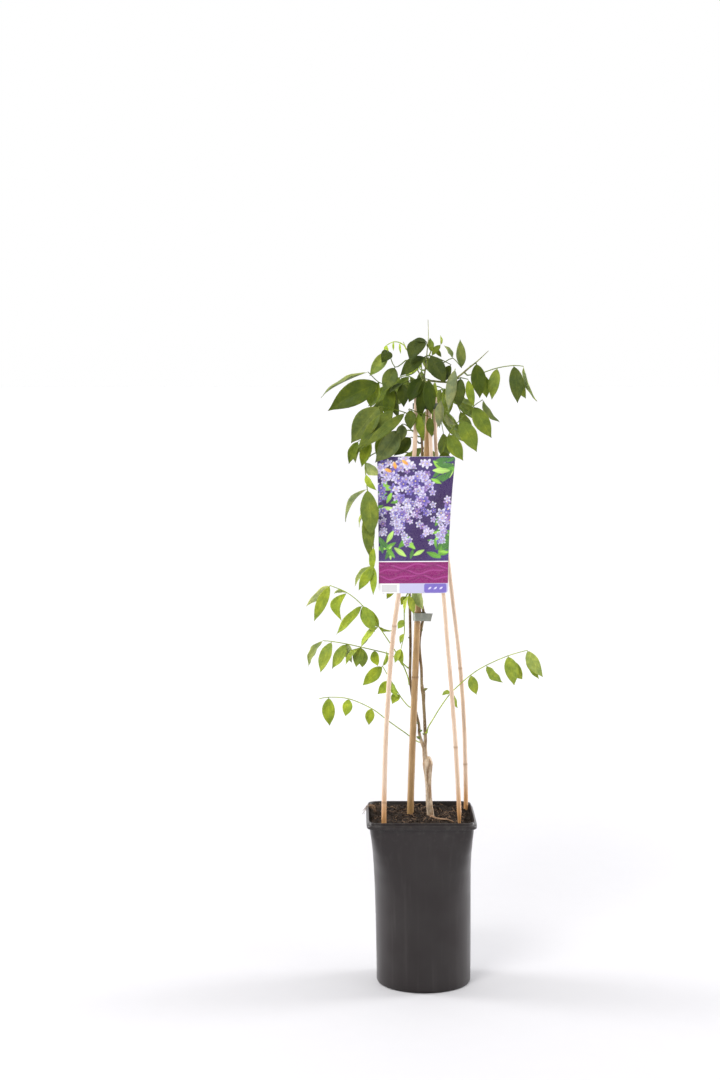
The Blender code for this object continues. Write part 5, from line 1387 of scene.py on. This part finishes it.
class WISTERIA_OT_label(bpy.types.Operator):
    """Adds the label's printed face in front of its card"""

    bl_idname = "wisteria.label"
    bl_label = "Label"
    bl_options = {"REGISTER", "UNDO"}

    def execute(self, context):
        label = settings("label")
        cane = cane_route("cane_left")
        tall = LABEL_TOP - LABEL_BOTTOM
        face = add_grid(round(2 * LABEL_HALF_HEAD / label.cell), round(tall / label.cell))
        across, up = [], []
        for vert in face.data.vertices:
            z = LABEL_BOTTOM + PRINT_MARGIN + (tall - 2 * PRINT_MARGIN) * (vert.co.y + 1) / 2
            middle, half = label_edges(z)
            x = middle + (half - PRINT_MARGIN) * vert.co.x
            vert.co = (x, label_front(x, z, cane) - LABEL_THICK - PRINT_LIFT, z)
            across.append((x - middle) / MM)
            up.append((z - LABEL_BOTTOM) / MM)
        picture = Picture(np.array(across), np.array(up), label.night)
        paint_label(picture)
        ink = face.data.attributes.new("ink", "FLOAT_COLOR", "POINT")
        colours = np.ones((len(across), 4))
        colours[:, :3] = picture.ink
        ink.data.foreach_set("color", colours.ravel())
        face.data.shade_smooth()
        finish_piece(face, "label_face", "label_card", [], print_material())
        whites = ((0.80, 0.80, 0.79), (0.70, 0.70, 0.68))
        coat(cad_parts["label"],
             speckled_material("label_card", 0.38, whites, (24.0, 900.0), 0.5, 0.05, Coat_Weight=0.15))
        coat(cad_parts["label_tie"], moulded_material("tie_wire", (0.055, 0.05, 0.11), (0.08, 0.07, 0.14), 0.4))
        return {"FINISHED"}


# The vine.

def bark_shape(rows, seed, amount, graft, thin):
    """Lumps and ridges on a stem, the trunk's waists and knob, and a shoot's thinning tip."""
    def shape(angle, i):
        z = rows[i].z
        ring = heading_at(angle) * 1.4
        lump = noise.fractal(ring + Vector((seed, 0, z * 60)), 0.9, 2.0, 3)
        ridge = noise.noise(ring * 2.2 + Vector((0, seed, z * 25)))
        factor = 1 + amount * (lump * 0.8 + ridge * 0.6)
        if thin:
            factor *= 1 - 0.5 * part_way(i / len(rows), THIN_FROM, 1.0)
        if graft:
            factor -= 0.19 * hump(z, 0.236, 0.022) + 0.17 * hump(z, 0.209, 0.012)
            factor += 0.14 * hump(z, GRAFT_HEIGHT, 0.0035) * (0.6 + 0.6 * math.cos(angle * 2 + 1))
        return factor

    return shape


def add_bud(at, out, size):
    """A small pointed bud."""
    clear_selection()
    bpy.ops.mesh.primitive_uv_sphere_add(segments=10, ring_count=7, radius=1.0)
    bud = bpy.context.object
    turn = Vector((0, 0, 1)).rotation_difference(out)
    for vert in bud.data.vertices:
        slim = 0.55 * (1 - 0.55 * max(0.0, vert.co.z) ** 2)
        vert.co = at + turn @ (Vector((vert.co.x * slim, vert.co.y * slim, vert.co.z * 1.1 + 0.5)) * size)
    bud.data.shade_smooth()
    return bud


class WISTERIA_OT_vine(bpy.types.Operator):
    """Adds the grafted trunk, its shoots and buds"""

    bl_idname = "wisteria.vine"
    bl_label = "Vine"
    bl_options = {"REGISTER", "UNDO"}

    def execute(self, context):
        routes = vine_routes(3.5 * MM)
        pieces = []
        for seed, (name, sides, amount) in enumerate(STEMS, 1):
            rows = routes[name]
            pieces.append(roll_tube(rows, sides, bark_shape(rows, seed, amount, name == "trunk", seed > 2)))
        top = max(vert.co.z for vert in pieces[0].data.vertices)
        vine = join(pieces)
        mark(vine.data, "cut", [float(top - 0.35 * MM < vert.co.z < top + 0.1 * MM and vert.co.x > 4 * MM)
                                for vert in vine.data.vertices])
        vine.data.set_sharp_from_angle(angle=math.radians(60))
        finish_piece(vine, "vine_wood", "bark", ["vine"], bark_material())
        buds = []
        for shoot, height, out, size in BUDS:
            centre, _, radius = place_at(routes[shoot], seen(0, 0, height).z)
            out = Vector(out).normalized()
            buds.append(add_bud(centre + out * radius * 0.8, out, size * MM))
        finish_piece(join(buds), "vine_buds", "bark", [],
                     moulded_material("bud", (0.13, 0.20, 0.035), (0.22, 0.16, 0.05), 0.6))
        return {"FINISHED"}


# The leaves.

def blade_half(t):
    """Half a leaflet's width at a share of its length, against its full half width."""
    return float(np.interp(t, *zip(*BLADE_PROFILE)))


def leaflet_template():
    """One flat leaflet plate, its rows closest near both ends: x is across and y along."""
    sheet = add_grid(BLADE_COLUMNS, BLADE_ROWS)
    apply_modifier(sheet, "SOLIDIFY", thickness=0.02, offset=0)
    for face in sheet.data.polygons:
        face.material_index = 1 if face.normal.z < -0.5 else 0
    for vert in sheet.data.vertices:
        t = (vert.co.y + 1) / 2
        vert.co.y = t - 0.07 * math.sin(2 * math.pi * t)
    return sheet


def blade_frame(base, tip, turn):
    """Unit vectors along the midrib, across the blade and out of its upper face."""
    along = (tip - base).normalized()
    front = Vector((0, -1, 0))
    up = front - along * front.dot(along)
    if up.length < 0.2:
        up = Vector((0, 0, 1)) - along * along.z
    up.normalize()
    up.rotate(Matrix.Rotation(math.radians(turn), 3, along))
    return along, up.cross(along), up


def shape_leaflet(verts, base, tip, width, turn, bow, rng):
    """Bends a copied plate to one leaflet between base and tip."""
    plant = settings("plant")
    along, across, up = blade_frame(base, tip, turn + rng.uniform(-7, 7))
    size = (tip - base).length
    arch = plant.arch * rng.uniform(0.2, 1.7) * size
    cup = plant.cup * rng.uniform(0.3, 1.6) * width
    wave = rng.uniform(0.02, 0.06) * width
    phase, waves = rng.uniform(0, 6.28), rng.uniform(1.6, 2.8)
    twist = rng.uniform(-0.28, 0.28)
    bow += rng.uniform(-0.03, 0.03) * size
    skew = rng.uniform(-0.06, 0.06)
    for vert in verts:
        s, t, side = vert.co.x, max(0.0, min(1.0, vert.co.y)), (1 if vert.co.z > 0 else -1)
        half = blade_half(t)
        lift = arch * math.sin(math.pi * t**0.9) - 0.06 * size * t**6
        lift += cup * abs(s) ** 1.4 * half * (1 - 0.3 * t)
        lift += wave * math.sin(2 * math.pi * waves * t + phase + (0.9 if s > 0 else 0)) * s * s * min(1, 6 * t)
        lift += side * BLADE_THICK / 2 * (1 - 0.55 * abs(s) ** 3)
        angle = twist * (t - 0.4)
        sideways = across * math.cos(angle) + up * math.sin(angle)
        off = s * half * width / 2 * (1 + skew * s)
        vert.co = base + along * size * t + sideways * off + across * bow * math.sin(math.pi * t) + up * lift


def back_leaf(routes, height, heading, reach, rise, fall, pairs, size):
    """A leaf that arches away from shoot B and hangs its leaflets."""
    centre, _, _ = place_at(routes["b"], seen(0, 0, height).z)
    heading = heading_at(math.radians(heading))
    aside = Vector((-heading.y, heading.x, 0))
    down = Vector((0, 0, -1))
    count = pairs + 2
    places = []
    for i in range(1, count + 1):
        ratio = i / count
        drop = fall * ratio**2 - rise * (math.sin(math.pi * ratio) + ratio * 0.5)
        places.append(centre + (heading * reach * ratio + down * drop) * MM)
    leaflets = []
    for place in range(1, pairs + 1):
        long = size * (0.72 + 0.10 * place)
        for side in (-1, 1):
            tip = places[place] + (heading * 0.36 + aside * 0.66 * side + down * 0.66) * long * MM
            leaflets.append((place, tip, long * 0.40, 20 * side))
    leaflets.append((count - 1, places[-1] + (heading * 0.62 + down * 0.78) * size * 1.1 * MM, size * 0.42, 0))
    return dict(on=("b", height), look=BACK_LOOK, places=places, leaflets=leaflets)


def as_point(place):
    return place if isinstance(place, Vector) else seen(*place)


def add_stalk(route):
    """A leaf stalk with a swollen foot, as a bmesh."""
    last = len(route) - 1
    for i, row in enumerate(route):
        swell = (STALK_BASE - STALK_RADIUS) * max(0.0, 1 - i / 2.5)
        row.w = STALK_RADIUS + (STALK_END - STALK_RADIUS) * i / last + swell
    stalk = roll_tube(route, 8)
    work = bmesh.new()
    work.from_mesh(stalk.data)
    drop_object(stalk)
    for face in work.faces:
        face.material_index = 2
    return work


def build_leaf(name, leaf, routes, template, materials, rng):
    shoot, height = leaf["on"]
    centre, tangent, radius = place_at(routes[shoot], seen(0, 0, height).z)
    places = [as_point(place) for place in leaf["places"]]
    out = places[0] - centre
    out = (out - tangent * out.dot(tangent)).normalized()
    foot, knee = centre + out * (radius - 0.3 * MM), centre + out * (radius + GAP + STALK_KNEE)
    work = add_stalk(smooth([Vector((*p, 0)) for p in [foot, knee] + places], 5 * MM))
    tint = work.verts.layers.float_color.new("tint")
    for vert in work.verts:
        vert[tint] = (leaf["look"][0], 1, 0, 1)
    slim = 0.7 if name == "shoot_tip_left" else 0.95
    for place, tip, width, turn, *rest in leaf["leaflets"]:
        bow = rest[0] if rest else 0
        # A leaflet's look: how grown it is, with painted glow, its painted light and shade, and how pale it is.
        age_and_glow, painted_shading, paleness = rest[1] if len(rest) > 1 else leaf["look"]
        first = len(work.verts)
        work.from_mesh(template)
        work.verts.ensure_lookup_table()
        fresh = work.verts[first:]
        shape_leaflet(fresh, places[place], as_point(tip), width * slim * MM, turn, bow * MM, rng)
        age_and_glow = min(1.0, max(0.0, age_and_glow + rng.uniform(-0.05, 0.05)))
        painted_shading *= rng.uniform(0.88, 1.12)
        paleness += rng.uniform(0.0, 0.02)
        for vert in fresh:
            vert[tint] = (age_and_glow, painted_shading, paleness, 1)
    for face in work.faces:
        face.smooth = True
    title = name.replace("leaf", "foliage").replace("shoot_tip", "young_tip")
    slot = "young_leaf_green" if name.startswith("shoot_tip") else "leaf_green"
    finish_piece(add_object(work, title), title, slot, [name], *materials)


class WISTERIA_OT_leaves(bpy.types.Operator):
    """Adds every compound leaf and young shoot tip"""

    bl_idname = "wisteria.leaves"
    bl_label = "Leaves"
    bl_options = {"REGISTER", "UNDO"}

    def execute(self, context):
        plant = settings("plant")
        routes = vine_routes(SHOOT_STEP)
        sheet = leaflet_template()
        materials = (
            leaf_material("leaf_upper", plant.dark_leaf, plant.light_leaf, (2.0, 1.7, 1.3), 0.42, 0.0004),
            leaf_material("leaf_under", plant.dark_under, plant.light_under, (1.3, 1.25, 1.1), 0.62, -0.0004),
            stalk_material())
        leaves = dict(LEAVES)
        for number, row in enumerate(BACK_LEAVES, 1):
            leaves[f"leaf_back_{number}"] = back_leaf(routes, *row)
        for number, (name, leaf) in enumerate(leaves.items()):
            build_leaf(name, leaf, routes, sheet.data, materials, random.Random(100 + number))
        drop_object(sheet)
        return {"FINISHED"}


# The studio.

def add_light(name, place, aim, size, power, tint=(1, 1, 1)):
    lamp = bpy.data.lights.new(name, "AREA")
    lamp.shape = "RECTANGLE"
    lamp.size, lamp.size_y = size
    lamp.energy = power
    lamp.color = tint
    obj = bpy.data.objects.new(name, lamp)
    bpy.context.scene.collection.objects.link(obj)
    obj.location = place
    obj.rotation_euler = (Vector(aim) - Vector(place)).to_track_quat("-Z", "Y").to_euler()


def floor_material():
    """A pale floor that glows to white away from the plant."""
    material, nodes = new_material("floor", 0.75, Specular_IOR_Level=0.2, Emission_Strength=1.0)
    shader = nodes.tree.nodes["Principled BSDF"].inputs
    paint = nodes.speckle((0.55, 0.545, 0.565), (0.53, 0.525, 0.545), 0.8, 30.0, 0.5)
    nodes.plug(shader["Base Color"], paint["Color"])
    far = nodes.add("VectorMath", dict(operation="LENGTH"), Vector=nodes.place()).outputs["Value"]
    nodes.plug(shader["Emission Color"], nodes.grey(nodes.ramp(far, 0.3, 2.6, 0.0, 0.475)))
    return material


def studio_world(front, back):
    """Even light, dim from the camera's side, that the camera sees as white."""
    world = bpy.data.worlds.new("studio")
    world.use_nodes = True
    nodes = Nodes(world.node_tree)
    background = world.node_tree.nodes["Background"].inputs
    nodes.plug(background["Color"], (1.0, 1.0, 1.0))
    _, ahead, up = nodes.split(nodes.place("Generated"))
    even = nodes.plus(nodes.ramp(ahead, -0.75, 0.25, front, back), nodes.ramp(up, 0.25, 1.0, 0.0, 0.35))
    shown = nodes.add("LightPath").outputs["Is Camera Ray"]
    nodes.plug(background["Strength"], nodes.ramp(shown, 0.0, 1.0, even, 1.0))
    return world


class WISTERIA_OT_stage(bpy.types.Operator):
    """Adds the pale floor, the soft studio light and the camera"""

    bl_idname = "wisteria.stage"
    bl_label = "Stage"
    bl_options = {"REGISTER", "UNDO"}

    def execute(self, context):
        stage = settings("stage")
        scene = context.scene
        clear_selection()
        bpy.ops.mesh.primitive_circle_add(vertices=64, radius=60, fill_type="NGON")
        floor = context.object
        floor.name = "floor"
        floor.data.materials.append(floor_material())
        scene.world = studio_world(stage.front, stage.back)
        add_light("key", (-1.1, -2.1, 2.5), (0, 0, 0.5), (1.1, 1.1), stage.key, (1.0, 0.985, 0.96))
        add_light("fill", (1.9, -1.4, 1.1), (0, 0, 0.4), (1.2, 1.8), stage.fill)
        for hand in (-1, 1):
            add_light("side", (1.8 * hand, 0.5, 1.0), (0, 0, 0.45), (0.7, 2.0), stage.side)
        lens = bpy.data.cameras.new("camera")
        lens.lens = CAMERA_LENS
        lens.sensor_width = 36
        lens.sensor_fit = "AUTO"
        camera = bpy.data.objects.new("camera", lens)
        scene.collection.objects.link(camera)
        camera.location = Vector((EYE_ACROSS, -EYE_DISTANCE, EYE_HEIGHT)) * MM
        camera.rotation_euler = (math.radians(90 + CAMERA_PITCH), 0, 0)
        scene.camera = camera
        scene.view_settings.view_transform = "Standard"
        return {"FINISHED"}


class WISTERIA_PT_panel(bpy.types.Panel):
    """Lists the plant's pieces in the 3D view's sidebar"""

    bl_idname = "WISTERIA_PT_panel"
    bl_label = "Potted Wisteria"
    bl_space_type = "VIEW_3D"
    bl_region_type = "UI"
    bl_category = "Wisteria"

    def draw(self, context):
        for group, kind in GROUPS.items():
            box = self.layout.box()
            for field in kind.__annotations__:
                box.prop(settings(group), field)
        for operator in OPERATORS:
            self.layout.operator(operator.bl_idname)


GROUPS = {"pot": PotSettings, "plant": PlantSettings, "label": LabelSettings, "stage": StageSettings}
OPERATORS = (WISTERIA_OT_pot, WISTERIA_OT_soil, WISTERIA_OT_canes, WISTERIA_OT_tape, WISTERIA_OT_label,
             WISTERIA_OT_vine, WISTERIA_OT_leaves, WISTERIA_OT_stage)
CLASSES = (*GROUPS.values(), *OPERATORS, WISTERIA_PT_panel)


def register():
    for kind in CLASSES:
        bpy.utils.register_class(kind)
    for group, kind in GROUPS.items():
        setattr(bpy.types.Scene, "wisteria_" + group, bpy.props.PointerProperty(type=kind))


def unregister():
    for group in GROUPS:
        delattr(bpy.types.Scene, "wisteria_" + group)
    for kind in reversed(CLASSES):
        bpy.utils.unregister_class(kind)


def main():
    register()
    bpy.ops.wisteria.pot()
    bpy.ops.wisteria.soil()
    bpy.ops.wisteria.canes()
    bpy.ops.wisteria.tape()
    bpy.ops.wisteria.label()
    bpy.ops.wisteria.vine()
    bpy.ops.wisteria.leaves()
    bpy.ops.wisteria.stage()


if __name__ == "__main__":
    main()
